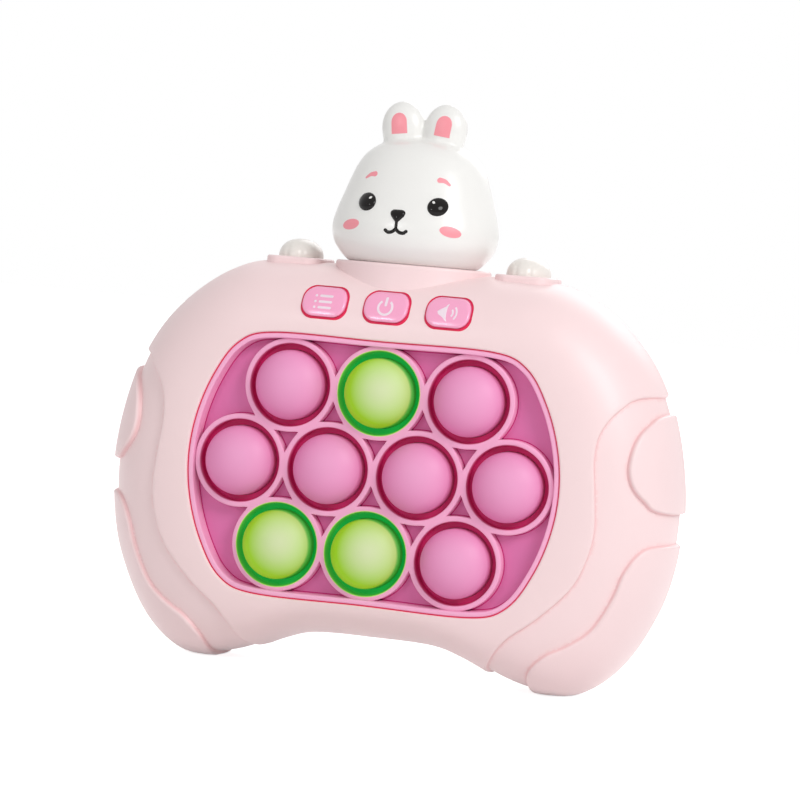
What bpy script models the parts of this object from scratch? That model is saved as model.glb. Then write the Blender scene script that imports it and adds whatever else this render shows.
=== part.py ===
"""Handheld push-bubble game: two shells, a silicone sheet with ten bubbles, three buttons, a rabbit head.

Metres, +Z up. The front faces -Y, and the game stands on the flats of its two grips at Z = 0.
Heights are counted from the middle of the bubble grid, which is GRID_HEIGHT above the floor.
Depths are Y: the shells part at PARTING_Y, and what lies nearer the player has the smaller Y.
"""

from math import copysign, cos, hypot, pi, radians, sin

import bmesh
import bpy
import numpy as np
from mathutils import Vector

# Clearances and overruns
FIT = 0.0003
OVERRUN = 0.004
EMBED = 0.0006

# Body outline and crown
BODY_HALF_WIDTH = 0.0760
BODY_HALF_HEIGHT = 0.0530
PARTING_Y = 0.0062
FRONT_DEPTH = 0.0256
REAR_DEPTH = 0.0177
WALL = 0.0020
PANEL_RISE = 0.0011
PAD_RISE = 0.0015
GRIP_RISE = 0.0012
SIDE_POWER = 2.3
TOP_POWER = 2.5
OUTLINE_SHARES = (
    (0, 0.974), (0.447, 0.981), (0.624, 0.923), (0.793, 0.740), (0.901, 0.523), (0.968, 0.245),
    (1, -0.075), (0.982, -0.377), (0.932, -0.604), (0.842, -0.830), (0.726, -0.972), (0.612, -1),
    (0.495, -0.966), (0.361, -0.879), (0.224, -0.821), (0, -0.813),
)
REAR_FLAT_SHARE = 0.92
AREA_REACH_SHARE = 1.3

# Window in the front shell
WINDOW_WIDTH_SHARE = 0.6566
WINDOW_HEIGHT_SHARE = 0.6453
WINDOW_CORNER_SHARES = (0.776, 0.9)
WINDOW_SHARES = (
    (0, 1), (0.58, 1), WINDOW_CORNER_SHARES, (0.898, 0.637), (0.974, 0.322),
    (1, 0), (0.974, -0.322), (0.898, -0.637), (0.776, -0.9), (0.58, -1), (0, -1),
)
WINDOW_LAND = 0.0010
COLLAR_WALL = 0.0015
COLLAR_DEPTH = 0.0042

# Raised areas, as shares of the body's half width and half height
PANEL_EDGE_SHARES = (
    (1.10, 0.47), (0.89, 0.483), (0.82, 0.417), (0.770, 0.304), (0.759, 0.174), (0.769, 0.032),
    (0.779, -0.158), (0.762, -0.304), (0.715, -0.455), (0.612, -0.613), (0.513, -0.728),
    (0.455, -0.835), (0.426, -0.93), (0.418, -1.12),
)
PAD_EDGE_SHARES = (
    (1.10, 0.43), (0.95, 0.408), (0.904, 0.347), (0.876, 0.264), (0.866, 0.147), (0.882, 0.059),
    (0.918, -0.008), (0.962, -0.060), (1.10, -0.092),
)
GRIP_EDGE_SHARES = (
    (1.10, -0.215), (1.0, -0.224), (0.931, -0.245), (0.88, -0.351), (0.845, -0.492), (0.786, -0.647),
    (0.712, -0.734), (0.642, -0.792), (0.586, -0.877), (0.574, -0.972), (0.585, -1.10),
)

# Neck platform and paw collars, counted up or down from the body's top edge
NECK_HALF_WIDTH = 0.0207
NECK_HALF_DEPTH = 0.0185
NECK_Y = 0.0045
NECK_RISE = 0.0033
NECK_ROOT = 0.0116
NECK_ROUND = 0.0012
NECK_BLOCK_RADIUS = 0.0125
NECK_BLOCK_DROP = 0.0021
PAW_SIDE_SHARE = 0.4105
PAW_Y = 0.0045
PAW_COLLAR_HALF_WIDTH = 0.0076
PAW_COLLAR_HALF_DEPTH = 0.0092
PAW_COLLAR_RISE = 0.0024
PAW_COLLAR_ROUND = 0.0008

# Bubbles: rows of 3, 4 and 3, whose outer centres lie an inset inside the window
ROWS = (3, 4, 3)
COLUMN_INSET = 0.0139
ROW_INSET = 0.013416
RING_DROP = 0.0015
RING_MERGE = 0.0002
RING_WIDTH = 0.0014
GROOVE_WIDTH = 0.00175
BUBBLE_RISE = 0.0060
BUBBLE_WALL = 0.0012
BUBBLE_FLANGE = 0.00096
BUBBLE_TRAVEL = 0.0030

# Silicone sheet
SHEET_LIP_DROP = 0.0005
SHEET_LIP_WIDTH = 0.0027
SHEET_THICKNESS = 0.0016

# Light caps, the clear plungers under the bubbles
CAP_GAP = 0.00045
CAP_DEPTH = 0.0048
STEM_RADIUS = 0.0032

# Guide frame
GUIDE_THICKNESS = 0.0020
GUIDE_RIM = 0.0030
GUIDE_PEG_RADIUS = 0.0020
STACK_SIDE_INSET = 0.0034
STACK_TOP_INSET = 0.0002
STACK_RADIUS = 0.0038
GUIDE_EAR_RADIUS = 0.0071

# Main board, its contact mat and its lights
BOARD_AHEAD = 0.0051
BOARD_THICKNESS = 0.0016
BOARD_ABOVE_WINDOW = 0.0125
BOARD_BELOW_WINDOW = 0.0043
BOARD_CORNER = 0.0080
MAT_THICKNESS = 0.0010
MAT_SIDE_INSET = 0.0037
MAT_HALF_WAIST = 0.0120
MAT_BEYOND_COLUMN = 0.0130
MAT_ABOVE_BUTTONS = 0.0033
MAT_BELOW_ROW = 0.0122
BUMP_RADIUS = 0.0042
BUMP_HEIGHT = 0.0015
BUMP_HOLE = 0.0019
LIGHT_HALF_SIDE = 0.0011
LIGHT_HEIGHT = 0.0009

# Buttons
BUTTON_ABOVE_WINDOW = 0.0088
BUTTON_SPACING = 0.0166
BUTTON_HALF_WIDTH = 0.0058
BUTTON_HALF_HEIGHT = 0.00385
BUTTON_CORNER = 0.0033
BUTTON_PROUD = 0.0009
BUTTON_FLANGE_DROP = 0.0090
BUTTON_FLANGE_THICKNESS = 0.0012
BUTTON_FLANGE_SIDE = 0.0013
BUTTON_FLANGE_HALF_HEIGHT = 0.0022
BUTTON_TRAVEL = 0.0010
BUTTON_COLLAR = 0.0012

# Batteries and their bay
CELL_RADIUS = 0.00525
CELL_LENGTH = 0.0437
NUB_RADIUS = 0.0019
NUB_LENGTH = 0.0008
CELL_COUNT = 3
CELL_GAP = 0.0007
BAY_Z = -0.0100
BAY_END_ROOM = 0.00375
BAY_SIDE_ROOM = 0.0004
BAY_DEPTH = 0.0128
BAY_WALL = 0.0016
LEDGE = 0.0023
LEDGE_WALL = 0.0018
LEDGE_DEPTH = 0.0045
DOOR_THICKNESS = 0.0024
DOOR_EAR_RADIUS = 0.0052
DOOR_CORNER = 0.0025
CONTACT_THICKNESS = 0.0004
CONTACT_HALF_SIDE = 0.0042
SPRING_RADIUS = 0.0030
SPRING_TIP_RADIUS = 0.0018
SPRING_WIRE = 0.0004
SPRING_TURNS = 2.5
SPRING_POINTS_PER_TURN = 8

# Speaker
SPEAKER_Z = 0.0256
SPEAKER_RADIUS = 0.0080
SPEAKER_DEPTH = 0.0042
SPEAKER_RIM = 0.0010
MAGNET_RADIUS = 0.0045
SPEAKER_WALL = 0.0012
SPEAKER_SLOTS = 5
SLOT_PITCH = 0.0024
SLOT_HALF_WIDTH = 0.0007

# Screws
SHANK_RADIUS = 0.00125
SCREW_HEAD_RADIUS = 0.0023
SCREW_HEAD_HEIGHT = 0.0014
BOSS_RADIUS = 0.0032
CASE_SCREW_LENGTH = 0.0120
CASE_SCREW_SEAT = 0.0050
CASE_SCREW_BESIDE_STACK = 0.0105
CASE_SCREW_BELOW_STACK = 0.0030
CASE_SCREW_SHARES = ((0.842, -0.226), (0.638, -0.8585))
DOOR_SCREW_LENGTH = 0.0080
SLOT_DEPTH = 0.0006
SLOT_WIDTH = 0.0006
SCREW_TOP_SHARE = 0.75
SLOT_LENGTH_SHARE = 0.6

# Rabbit head
HEAD_Y = 0.0030
HEAD_WALL = 0.0016
HEAD_HALF_WIDTH = 0.0226
HEAD_HALF_DEPTH = 0.0187
HEAD_HEIGHT = 0.0325
HEAD_ROUNDNESS = 0.92
HEAD_LEVELS_SHARES = (
    (0, 0.78), (0.06, 0.876), (0.15, 0.969), (0.27, 1), (0.40, 0.962), (0.54, 0.894),
    (0.68, 0.823), (0.79, 0.750), (0.88, 0.640), (0.95, 0.470), (0.99, 0.230),
)
EAR_X = 0.0059
EAR_RISE = 0.0025
EAR_HALF_WIDTH = 0.0057
EAR_HALF_DEPTH = 0.0040
EAR_HALF_HEIGHT = 0.0070
EAR_TILT = 8
NECK_TUBE_RADIUS = 0.0075
NECK_TUBE_BORE = 0.0055
NECK_FLANGE_RADIUS = 0.0098
NECK_FLANGE_THICKNESS = 0.0012
HEAD_BOARD_RADIUS = 0.0090
HEAD_BOARD_THICKNESS = 0.0012
HEAD_FLOOR = 0.0016

# Paws
PAW_HALF_WIDTH = 0.0058
PAW_HALF_DEPTH = 0.0072
PAW_RISE = 0.0046
PAW_LEVEL_DEGREES = (0, 22, 45, 66, 82)
PAW_STEM_RADIUS = 0.0040
PAW_FLANGE_RADIUS = 0.0056
PAW_FLANGE_THICKNESS = 0.0010
PAW_FLANGE_DROP = 0.0016

# Wires
WIRE_RADIUS = 0.0006

# Roundness: steps round a turned piece and stations round the body
BODY_STATIONS = 44
INNER_STATIONS = 28
FRONT_RINGS = 5
REAR_RINGS = 3
WINDOW_POINTS = 30
FINE_STEPS = 16
PLAIN_STEPS = 14
SMALL_STEPS = 10
BOSS_STEPS = 8
BORE_STEPS = 6
NECK_STATIONS = 36
HEAD_STATIONS = 24
HEAD_INNER_STATIONS = 16
PAW_STATIONS = 20
OUTLINE_SMOOTHING = 12
EDGE_SMOOTHING = 4
DENSE = 400

# Depths that follow from the shells
FRONT_Y = PARTING_Y - FRONT_DEPTH - PANEL_RISE
BACK_Y = PARTING_Y + REAR_DEPTH + PANEL_RISE
REAR_INNER_Y = PARTING_Y + REAR_DEPTH - WALL
SHEET_LIP_Y = FRONT_Y + SHEET_LIP_DROP
RING_Y = FRONT_Y + RING_DROP
SHEET_FLOOR_Y = FRONT_Y + COLLAR_DEPTH + FIT
BUTTON_FLANGE_Y = FRONT_Y + BUTTON_FLANGE_DROP
CAP_SKIRT_Y = RING_Y + CAP_DEPTH
GUIDE_Y = CAP_SKIRT_Y + BUBBLE_TRAVEL + 2 * FIT
GUIDE_BACK_Y = GUIDE_Y + GUIDE_THICKNESS
BOARD_Y = PARTING_Y - BOARD_AHEAD
BOARD_BACK_Y = BOARD_Y + BOARD_THICKNESS
MAT_Y = BOARD_Y - FIT - MAT_THICKNESS
BUMP_Y = MAT_Y - BUMP_HEIGHT
STEM_TIP_Y = BUMP_Y - BUBBLE_TRAVEL - FIT
BAY_FLOOR_Y = BACK_Y - DOOR_THICKNESS - BAY_DEPTH

# Heights and widths that follow from the body
GRID_HEIGHT = BODY_HALF_HEIGHT + GRIP_RISE / 2
BODY_TOP = BODY_HALF_HEIGHT * OUTLINE_SHARES[0][1]
NECK_TOP = BODY_TOP + NECK_RISE
NECK_FOOT = BODY_TOP - NECK_ROOT
NECK_BLOCK_FLOOR = BODY_TOP - NECK_BLOCK_DROP
PAW_COLLAR_TOP = BODY_TOP + PAW_COLLAR_RISE
HEAD_BOTTOM = NECK_TOP + FIT
PAW_X = BODY_HALF_WIDTH * PAW_SIDE_SHARE
EAR_Z = HEAD_BOTTOM + HEAD_HEIGHT + EAR_RISE
WINDOW_HALF_WIDTH = BODY_HALF_WIDTH * WINDOW_WIDTH_SHARE
WINDOW_HALF_HEIGHT = BODY_HALF_HEIGHT * WINDOW_HEIGHT_SHARE
STACK_X = WINDOW_HALF_WIDTH - STACK_SIDE_INSET
STACK_Z = WINDOW_HALF_HEIGHT - STACK_TOP_INSET
BUTTON_Z = WINDOW_HALF_HEIGHT + BUTTON_ABOVE_WINDOW
BOARD_HALF_WIDTH = WINDOW_HALF_WIDTH
BOARD_TOP = WINDOW_HALF_HEIGHT + BOARD_ABOVE_WINDOW
BOARD_BOTTOM = -WINDOW_HALF_HEIGHT - BOARD_BELOW_WINDOW

# The bubble grid: the rings just merge with their nearest neighbours
COLUMN_PITCH = 2 * (WINDOW_HALF_WIDTH - COLUMN_INSET) / (max(ROWS) - 1)
ROW_PITCH = WINDOW_HALF_HEIGHT - ROW_INSET
RING_RADIUS = min(COLUMN_PITCH, hypot(COLUMN_PITCH / 2, ROW_PITCH)) / 2 + RING_MERGE
GROOVE_RADIUS = RING_RADIUS - RING_WIDTH
BUBBLE_RADIUS = GROOVE_RADIUS - GROOVE_WIDTH
CAP_RADIUS = BUBBLE_RADIUS - BUBBLE_WALL - CAP_GAP
MAT_HALF_WIDTH = WINDOW_HALF_WIDTH - MAT_SIDE_INSET
MAT_INNER_HALF_WIDTH = COLUMN_PITCH + MAT_BEYOND_COLUMN
MAT_TOP = BUTTON_Z + MAT_ABOVE_BUTTONS
MAT_BOTTOM = -ROW_PITCH - MAT_BELOW_ROW

# The battery bay: three cells side by side
CELL_PITCH = 2 * CELL_RADIUS + CELL_GAP
BAY_HALF_LENGTH = CELL_LENGTH / 2 + BAY_END_ROOM
BAY_HALF_HEIGHT = CELL_COUNT * CELL_PITCH / 2 + BAY_SIDE_ROOM

PINK = (0.93, 0.76, 0.76)
SILICONE = (0.72, 0.19, 0.42)
LIT_GREEN = (0.42, 0.72, 0.10)
BUTTON_PINK = (0.89, 0.36, 0.60)
WHITE = (0.90, 0.90, 0.89)
CLEAR = (0.86, 0.88, 0.86)
BOARD_GREEN = (0.04, 0.24, 0.10)
RUBBER_GREY = (0.45, 0.46, 0.48)
STEEL = (0.60, 0.60, 0.60)
CELL_BLUE = (0.12, 0.20, 0.42)
BLACK = (0.03, 0.03, 0.03)
RED = (0.50, 0.03, 0.03)
LIT_BUBBLES = (2, 8, 9)


def clear_scene():
    for item in list(bpy.data.objects):
        bpy.data.objects.remove(item, do_unlink=True)


clear_scene()
PARTS = bpy.data.collections.new("push_bubble_game")
CUTTERS = bpy.data.collections.new("cutters")
for group in (PARTS, CUTTERS):
    bpy.context.scene.collection.children.link(group)
GRID = bpy.data.objects.new("grid_centre", None)
GRID.location = (0, 0, GRID_HEIGHT)
PARTS.objects.link(GRID)


def finish(name, colour, roughness, metallic=0.0):
    """A plain material in the piece's colour."""
    made = bpy.data.materials.get(name) or bpy.data.materials.new(name)
    made.use_nodes = True
    shader = made.node_tree.nodes["Principled BSDF"]
    shader.inputs["Base Color"].default_value = (*colour, 1)
    shader.inputs["Roughness"].default_value = roughness
    shader.inputs["Metallic"].default_value = metallic
    return made


SHELL_FINISH = finish("shell_plastic", PINK, 0.32)
SILICONE_FINISH = finish("pink_silicone", SILICONE, 0.42)
LIT_FINISH = finish("lit_silicone", LIT_GREEN, 0.38)
BUTTON_FINISH = finish("button_plastic", BUTTON_PINK, 0.22)
WHITE_FINISH = finish("white_plastic", WHITE, 0.25)
CLEAR_FINISH = finish("clear_plastic", CLEAR, 0.15)
BOARD_FINISH = finish("board_laminate", BOARD_GREEN, 0.45)
RUBBER_FINISH = finish("grey_rubber", RUBBER_GREY, 0.6)
STEEL_FINISH = finish("plated_steel", STEEL, 0.3, 1.0)
CELL_FINISH = finish("cell_jacket", CELL_BLUE, 0.35)
BLACK_FINISH = finish("black_plastic", BLACK, 0.5)
RED_FINISH = finish("red_insulation", RED, 0.45)


def add(name, mesh, material=None, cutter=False, place=(0, 0, 0), turn=(0, 0, 0)):
    """Puts a mesh or curve in the scene under the grid's centre, as a piece or as a hidden cutter."""
    made = bpy.data.objects.new(name, mesh)
    (CUTTERS if cutter else PARTS).objects.link(made)
    made.parent = GRID
    made.location = place
    made.rotation_euler = turn
    made.hide_render = cutter
    if cutter:
        made.display_type = "WIRE"
    if material:
        mesh.materials.append(material)
    return made


def mesh_of(name, work):
    """Turns a bmesh into a mesh with its faces pointing out."""
    work.normal_update()
    bmesh.ops.recalc_face_normals(work, faces=work.faces)
    mesh = bpy.data.meshes.new(name)
    work.to_mesh(mesh)
    work.free()
    return mesh


def loft(name, rings, material=None, cutter=False, **where):
    """A closed skin over rings of equal point counts, capped at both ends."""
    work = bmesh.new()
    rows = [[work.verts.new(point) for point in ring] for ring in rings]
    for low, high in zip(rows, rows[1:]):
        for i in range(len(low)):
            j = (i + 1) % len(low)
            work.faces.new((low[i], low[j], high[j], high[i]))
    work.faces.new(rows[0])
    work.faces.new(rows[-1])
    return add(name, mesh_of(name, work), material, cutter, **where)


def prism(name, outline, y_from, y_to, material=None, cutter=False, **where):
    """An outline in X and Z, extruded along Y."""
    work = bmesh.new()
    face = work.faces.new([work.verts.new((x, y_from, z)) for x, z in outline])
    far = bmesh.ops.extrude_face_region(work, geom=[face])["geom"]
    for corner in far:
        if isinstance(corner, bmesh.types.BMVert):
            corner.co.y = y_to
    return add(name, mesh_of(name, work), material, cutter, **where)


def block(name, low, high, material=None, cutter=False):
    """A box between two corners."""
    work = bmesh.new()
    bmesh.ops.create_cube(work, size=1)
    low, high = Vector(low), Vector(high)
    bmesh.ops.scale(work, vec=high - low, verts=work.verts)
    bmesh.ops.translate(work, vec=(low + high) / 2, verts=work.verts)
    return add(name, mesh_of(name, work), material, cutter)


def turned(name, profile, steps, material=None, cutter=False, closed=False, **where):
    """A profile of (radius, height) points, top to bottom on its outer side, screwed round its own Z."""
    count = len(profile)
    edges = [(i, i + 1) for i in range(count - 1)] + ([(count - 1, 0)] if closed else [])
    mesh = bpy.data.meshes.new(name)
    mesh.from_pydata([(radius, 0, height) for radius, height in profile], edges, [])
    made = add(name, mesh, material, cutter, **where)
    screw = made.modifiers.new("turn", "SCREW")
    screw.steps = screw.render_steps = steps
    screw.use_merge_vertices = True
    screw.merge_threshold = 0.00001
    screw.use_smooth_shade = True
    return made


FACING_FRONT = (pi / 2, 0, 0)
FACING_BACK = (-pi / 2, 0, 0)


def bar(name, radius, low, high, axis, steps, material=None, cutter=True):
    """A round bar along an axis, between two points on its centre line. Its ends stay exactly square."""
    work = bmesh.new()
    bmesh.ops.create_cone(work, cap_ends=True, segments=steps, radius1=radius, radius2=radius, depth=1)
    low, high = Vector(low), Vector(high)
    others = [i for i in range(3) if i != axis]
    for corner in work.verts:
        across, along = corner.co.copy(), corner.co.z > 0
        corner.co[axis] = (high if along else low)[axis]
        for i, value in zip(others, (across.x, across.y)):
            corner.co[i] = low[i] + value
    return add(name, mesh_of(name, work), material, cutter)


def rod(name, x, z, radius, y_from, y_to, steps=SMALL_STEPS):
    """A round cutter along Y."""
    return bar(name, radius, (x, y_from, z), (x, y_to, z), 1, steps)


def post(name, x, y, radius, z_from, z_to, steps=PLAIN_STEPS, cutter=True, material=None):
    """A round bar along Z."""
    return bar(name, radius, (x, y, z_from), (x, y, z_to), 2, steps, material, cutter)


def boolean(target, tool, operation):
    made = target.modifiers.new(tool.name, "BOOLEAN")
    made.operation = operation
    made.solver = "EXACT"
    made.object = tool
    return target


def cut(target, *tools):
    for tool in tools:
        boolean(target, tool, "DIFFERENCE")
    return target


def join(target, *tools):
    for tool in tools:
        boolean(target, tool, "UNION")
    return target


def keep(target, *tools):
    for tool in tools:
        boolean(target, tool, "INTERSECT")
    return target


def tidy(target):
    """Merges the points that the Booleans leave within a hair of each other, and splits the faces evenly."""
    made = target.modifiers.new("weld", "WELD")
    made.merge_threshold = FIT / 20
    target.modifiers.new("triangles", "TRIANGULATE").ngon_method = "BEAUTY"
    return target


def between(a, b, c, d, t):
    """The point a share t of the way from b to c on a Catmull-Rom curve."""
    bend = (2 * a - 5 * b + 4 * c - d) * t**2 + (3 * b - a - 3 * c + d) * t**3
    return (2 * b + (c - a) * t + bend) / 2


def smooth_line(points, per_span, mirrored=False):
    """A Catmull-Rom line through the points; a mirrored one meets its own reflection square at both ends."""
    points = np.array(points, float)
    if mirrored:
        before, after = points[1] * (-1, 1), points[-2] * (-1, 1)
    else:
        before, after = 2 * points[0] - points[1], 2 * points[-1] - points[-2]
    knots = np.vstack([before, points, after])
    line = []
    for a, b, c, d in zip(knots, knots[1:], knots[2:], knots[3:]):
        for t in np.arange(per_span) / per_span:
            line.append(between(a, b, c, d, t))
    return np.array([*line, points[-1]])


def spaced(line, count):
    """Points at equal steps along a line, both ends included."""
    along = np.concatenate([[0], np.cumsum(np.linalg.norm(np.diff(line, axis=0), axis=1))])
    stations = np.linspace(0, along[-1], count)
    return np.stack([np.interp(stations, along, line[:, axis]) for axis in (0, 1)], axis=1)


def closed_outline(shares, half_width, half_height, count, grow=0.0):
    """A whole outline from the shares of its right half, clockwise from the top, moved out by grow."""
    points = np.array(shares) * (half_width, half_height)
    half = spaced(smooth_line(points, OUTLINE_SMOOTHING, mirrored=True), count // 2 + 1)
    whole = np.vstack([half, half[-2:0:-1] * (-1, 1)])
    along = np.roll(whole, -1, axis=0) - np.roll(whole, 1, axis=0)
    along /= np.linalg.norm(along, axis=1)[:, None]
    return whole + grow * np.stack([-along[:, 1], along[:, 0]], axis=1)


def radius_at(outline, angles):
    """How far the outline lies from the centre in each direction."""
    found = np.arctan2(outline[:, 1], outline[:, 0])
    order = np.argsort(found)
    return np.interp(angles, found[order], np.linalg.norm(outline[order], axis=1), period=2 * pi)


def body_outline(count, grow=0.0):
    return closed_outline(OUTLINE_SHARES, BODY_HALF_WIDTH, BODY_HALF_HEIGHT, count, grow)


def window_outline(grow, count=WINDOW_POINTS):
    return closed_outline(WINDOW_SHARES, WINDOW_HALF_WIDTH, WINDOW_HALF_HEIGHT, count, grow)


def crown(angles, grow):
    """By direction: the outline's radius, the crown's inner ring in front and behind, and the crown's power."""
    edge = radius_at(body_outline(DENSE, grow), angles)
    front = radius_at(window_outline(-WINDOW_LAND, DENSE), angles)
    rear = front * REAR_FLAT_SHARE
    power = SIDE_POWER + (TOP_POWER - SIDE_POWER) * np.maximum(np.sin(angles), 0)
    return edge, front, rear, power


def body_form(name, grow, stations, cutter=True):
    """The whole body as one closed volume, with its skin moved out by grow."""
    points = body_outline(stations)
    angles = np.arctan2(points[:, 1], points[:, 0])
    edge, front, rear, power = crown(angles, grow)
    rings = []
    for inner, depth, count, side in (
        (front, FRONT_DEPTH + grow, FRONT_RINGS, -1),
        (rear, REAR_DEPTH + grow, REAR_RINGS, 1),
    ):
        half = []
        for step in range(count + (side < 0)):
            turn = pi / 2 * step / count
            radius = inner + (edge - inner) * sin(turn) ** (2 / power)
            y = PARTING_Y + side * depth * np.maximum(cos(turn), 0) ** (2 / power)
            half.append(np.stack([radius * np.cos(angles), y, radius * np.sin(angles)], axis=1))
        rings += half if side < 0 else half[::-1]
    return loft(name, rings, cutter=cutter)


def front_y(x, z, grow):
    """Where the front skin lies at a place in the crown."""
    angle = np.array([np.arctan2(z, x)])
    edge, inner, _, power = (value[0] for value in crown(angle, grow))
    share = np.clip((np.hypot(x, z) - inner) / (edge - inner), 0, 1)
    return float(PARTING_Y - (FRONT_DEPTH + grow) * (1 - share**power) ** (1 / power))


def side_area(name, shares, sign):
    """A raised area's prism: its smooth edge, closed outside the body."""
    size = np.array((BODY_HALF_WIDTH, BODY_HALF_HEIGHT))
    edge = spaced(smooth_line(np.array(shares) * size, EDGE_SMOOTHING), 2 * len(shares)) * (sign, 1)
    reach = sign * AREA_REACH_SHARE * size[0]
    outline = np.vstack([edge, [(reach, edge[-1, 1]), (reach, edge[0, 1])]])
    return prism(name, outline, -2 * FRONT_DEPTH, 2 * FRONT_DEPTH, cutter=True)


def panel_area():
    """The main panel's prism, between its two waved edges."""
    size = np.array((BODY_HALF_WIDTH, BODY_HALF_HEIGHT))
    edge = spaced(smooth_line(np.array(PANEL_EDGE_SHARES) * size, EDGE_SMOOTHING), 2 * len(PANEL_EDGE_SHARES))
    top = np.array([(edge[0, 0], 2 * size[1])])
    outline = np.vstack([top, edge, edge[::-1] * (-1, 1), top * (-1, 1)])
    return prism("panel_area", outline, -2 * FRONT_DEPTH, 2 * FRONT_DEPTH, cutter=True)


def rounded_box_outline(half_width, half_height, corner, steps=3):
    """A rectangle with round corners, about the origin."""
    points = []
    for quarter, (sx, sz) in enumerate(((1, 1), (-1, 1), (-1, -1), (1, -1))):
        for step in range(steps + 1):
            turn = pi / 2 * (quarter + step / steps)
            centre = sx * (half_width - corner), sz * (half_height - corner)
            points.append((centre[0] + corner * cos(turn), centre[1] + corner * sin(turn)))
    return np.array(points)


def mound(name, outline, centre, z_from, z_to, rounding):
    """A boss on the top edge: an outline in X and Y lofted up, with a chamfered rim."""
    rings = []
    for z, share in ((z_from, 1), (z_to - rounding, 1), (z_to, 1 - rounding / abs(outline[:, 0]).max())):
        rings.append([(centre[0] + share * x, centre[1] + share * y, z) for x, y in outline])
    return loft(name, rings, cutter=True)


def ellipse(half_x, half_y, count):
    turns = np.arange(count) * 2 * pi / count
    return np.stack([half_x * np.cos(turns), half_y * np.sin(turns)], axis=1)


def bubble_places():
    """Places of the bubbles, row by row from the top left."""
    for row, count in enumerate(ROWS):
        for column in range(count):
            yield (column - (count - 1) / 2) * COLUMN_PITCH, (1 - row) * ROW_PITCH


def case_screw_places():
    places = [(STACK_X + CASE_SCREW_BESIDE_STACK, STACK_Z - CASE_SCREW_BELOW_STACK)]
    places += [(BODY_HALF_WIDTH * across, BODY_HALF_HEIGHT * up) for across, up in CASE_SCREW_SHARES]
    return [(sign * x, z) for x, z in places for sign in (-1, 1)]


def stack_places():
    return [(sx * STACK_X, sz * STACK_Z) for sz in (1, -1) for sx in (-1, 1)]


def button_places():
    return zip(("menu_button", "power_button", "volume_button"), (-BUTTON_SPACING, 0, BUTTON_SPACING))


def inside_skin(tool, depth=WALL / 2):
    """Trims a piece inside the shells to a depth under their skin, half a wall for what joins them."""
    return keep(tool, body_form(f"{tool.name}_limit", -depth, INNER_STATIONS))


def raised_body(target, label):
    """Joins the raised areas and the bosses of the top edge to a body form."""
    panel = keep(body_form(f"{label}_panel", PANEL_RISE, BODY_STATIONS), panel_area())
    join(target, panel)
    for sign, side in ((-1, "left"), (1, "right")):
        pad = body_form(f"{label}_{side}_pad", PAD_RISE, BODY_STATIONS)
        join(target, keep(pad, side_area(f"{label}_{side}_pad_area", PAD_EDGE_SHARES, sign)))
        grip = body_form(f"{label}_{side}_grip", GRIP_RISE, BODY_STATIONS)
        join(target, keep(grip, side_area(f"{label}_{side}_grip_area", GRIP_EDGE_SHARES, sign)))
        collar = rounded_box_outline(PAW_COLLAR_HALF_WIDTH, PAW_COLLAR_HALF_DEPTH, PAW_COLLAR_HALF_WIDTH / 2)
        place = sign * PAW_X, PAW_Y
        join(target, mound(f"{label}_{side}_collar", collar, place, NECK_FOOT, PAW_COLLAR_TOP, PAW_COLLAR_ROUND))
    neck = ellipse(NECK_HALF_WIDTH, NECK_HALF_DEPTH, NECK_STATIONS)
    join(target, mound(f"{label}_neck", neck, (0, NECK_Y), NECK_FOOT, NECK_TOP, NECK_ROUND))


def hollow(target, label):
    """Empties a shell, sets the neck's seat in it and bores it for the neck and the paws."""
    cut(target, body_form(f"{label}_inside", -WALL, INNER_STATIONS))
    block_top = NECK_TOP - NECK_ROUND
    join(target, post(
        f"{label}_neck_block", 0, PARTING_Y, NECK_BLOCK_RADIUS, NECK_BLOCK_FLOOR, block_top, FINE_STEPS
    ))
    bore, pocket = NECK_TUBE_RADIUS + FIT, NECK_FLANGE_RADIUS + FIT
    cut(
        target,
        post(f"{label}_neck_bore", 0, PARTING_Y, bore, NECK_FOOT, NECK_TOP + OVERRUN, FINE_STEPS),
        post(f"{label}_neck_pocket", 0, PARTING_Y, pocket, NECK_FOOT, NECK_BLOCK_FLOOR, FINE_STEPS),
    )
    for sign, side in ((-1, "left"), (1, "right")):
        cut(target, post(
            f"{label}_{side}_paw_bore", sign * PAW_X, PARTING_Y, PAW_STEM_RADIUS + FIT,
            NECK_FOOT, PAW_COLLAR_TOP + OVERRUN, SMALL_STEPS,
        ))


def far_box(name, y_from, y_to):
    reach = 2 * BODY_HALF_WIDTH
    return block(name, (-reach, y_from, -reach), (reach, y_to, reach), cutter=True)


def floor_box(label):
    reach = 2 * BODY_HALF_WIDTH
    return block(f"{label}_floor", (-reach, -reach, -reach), (reach, reach, -GRID_HEIGHT), cutter=True)


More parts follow.
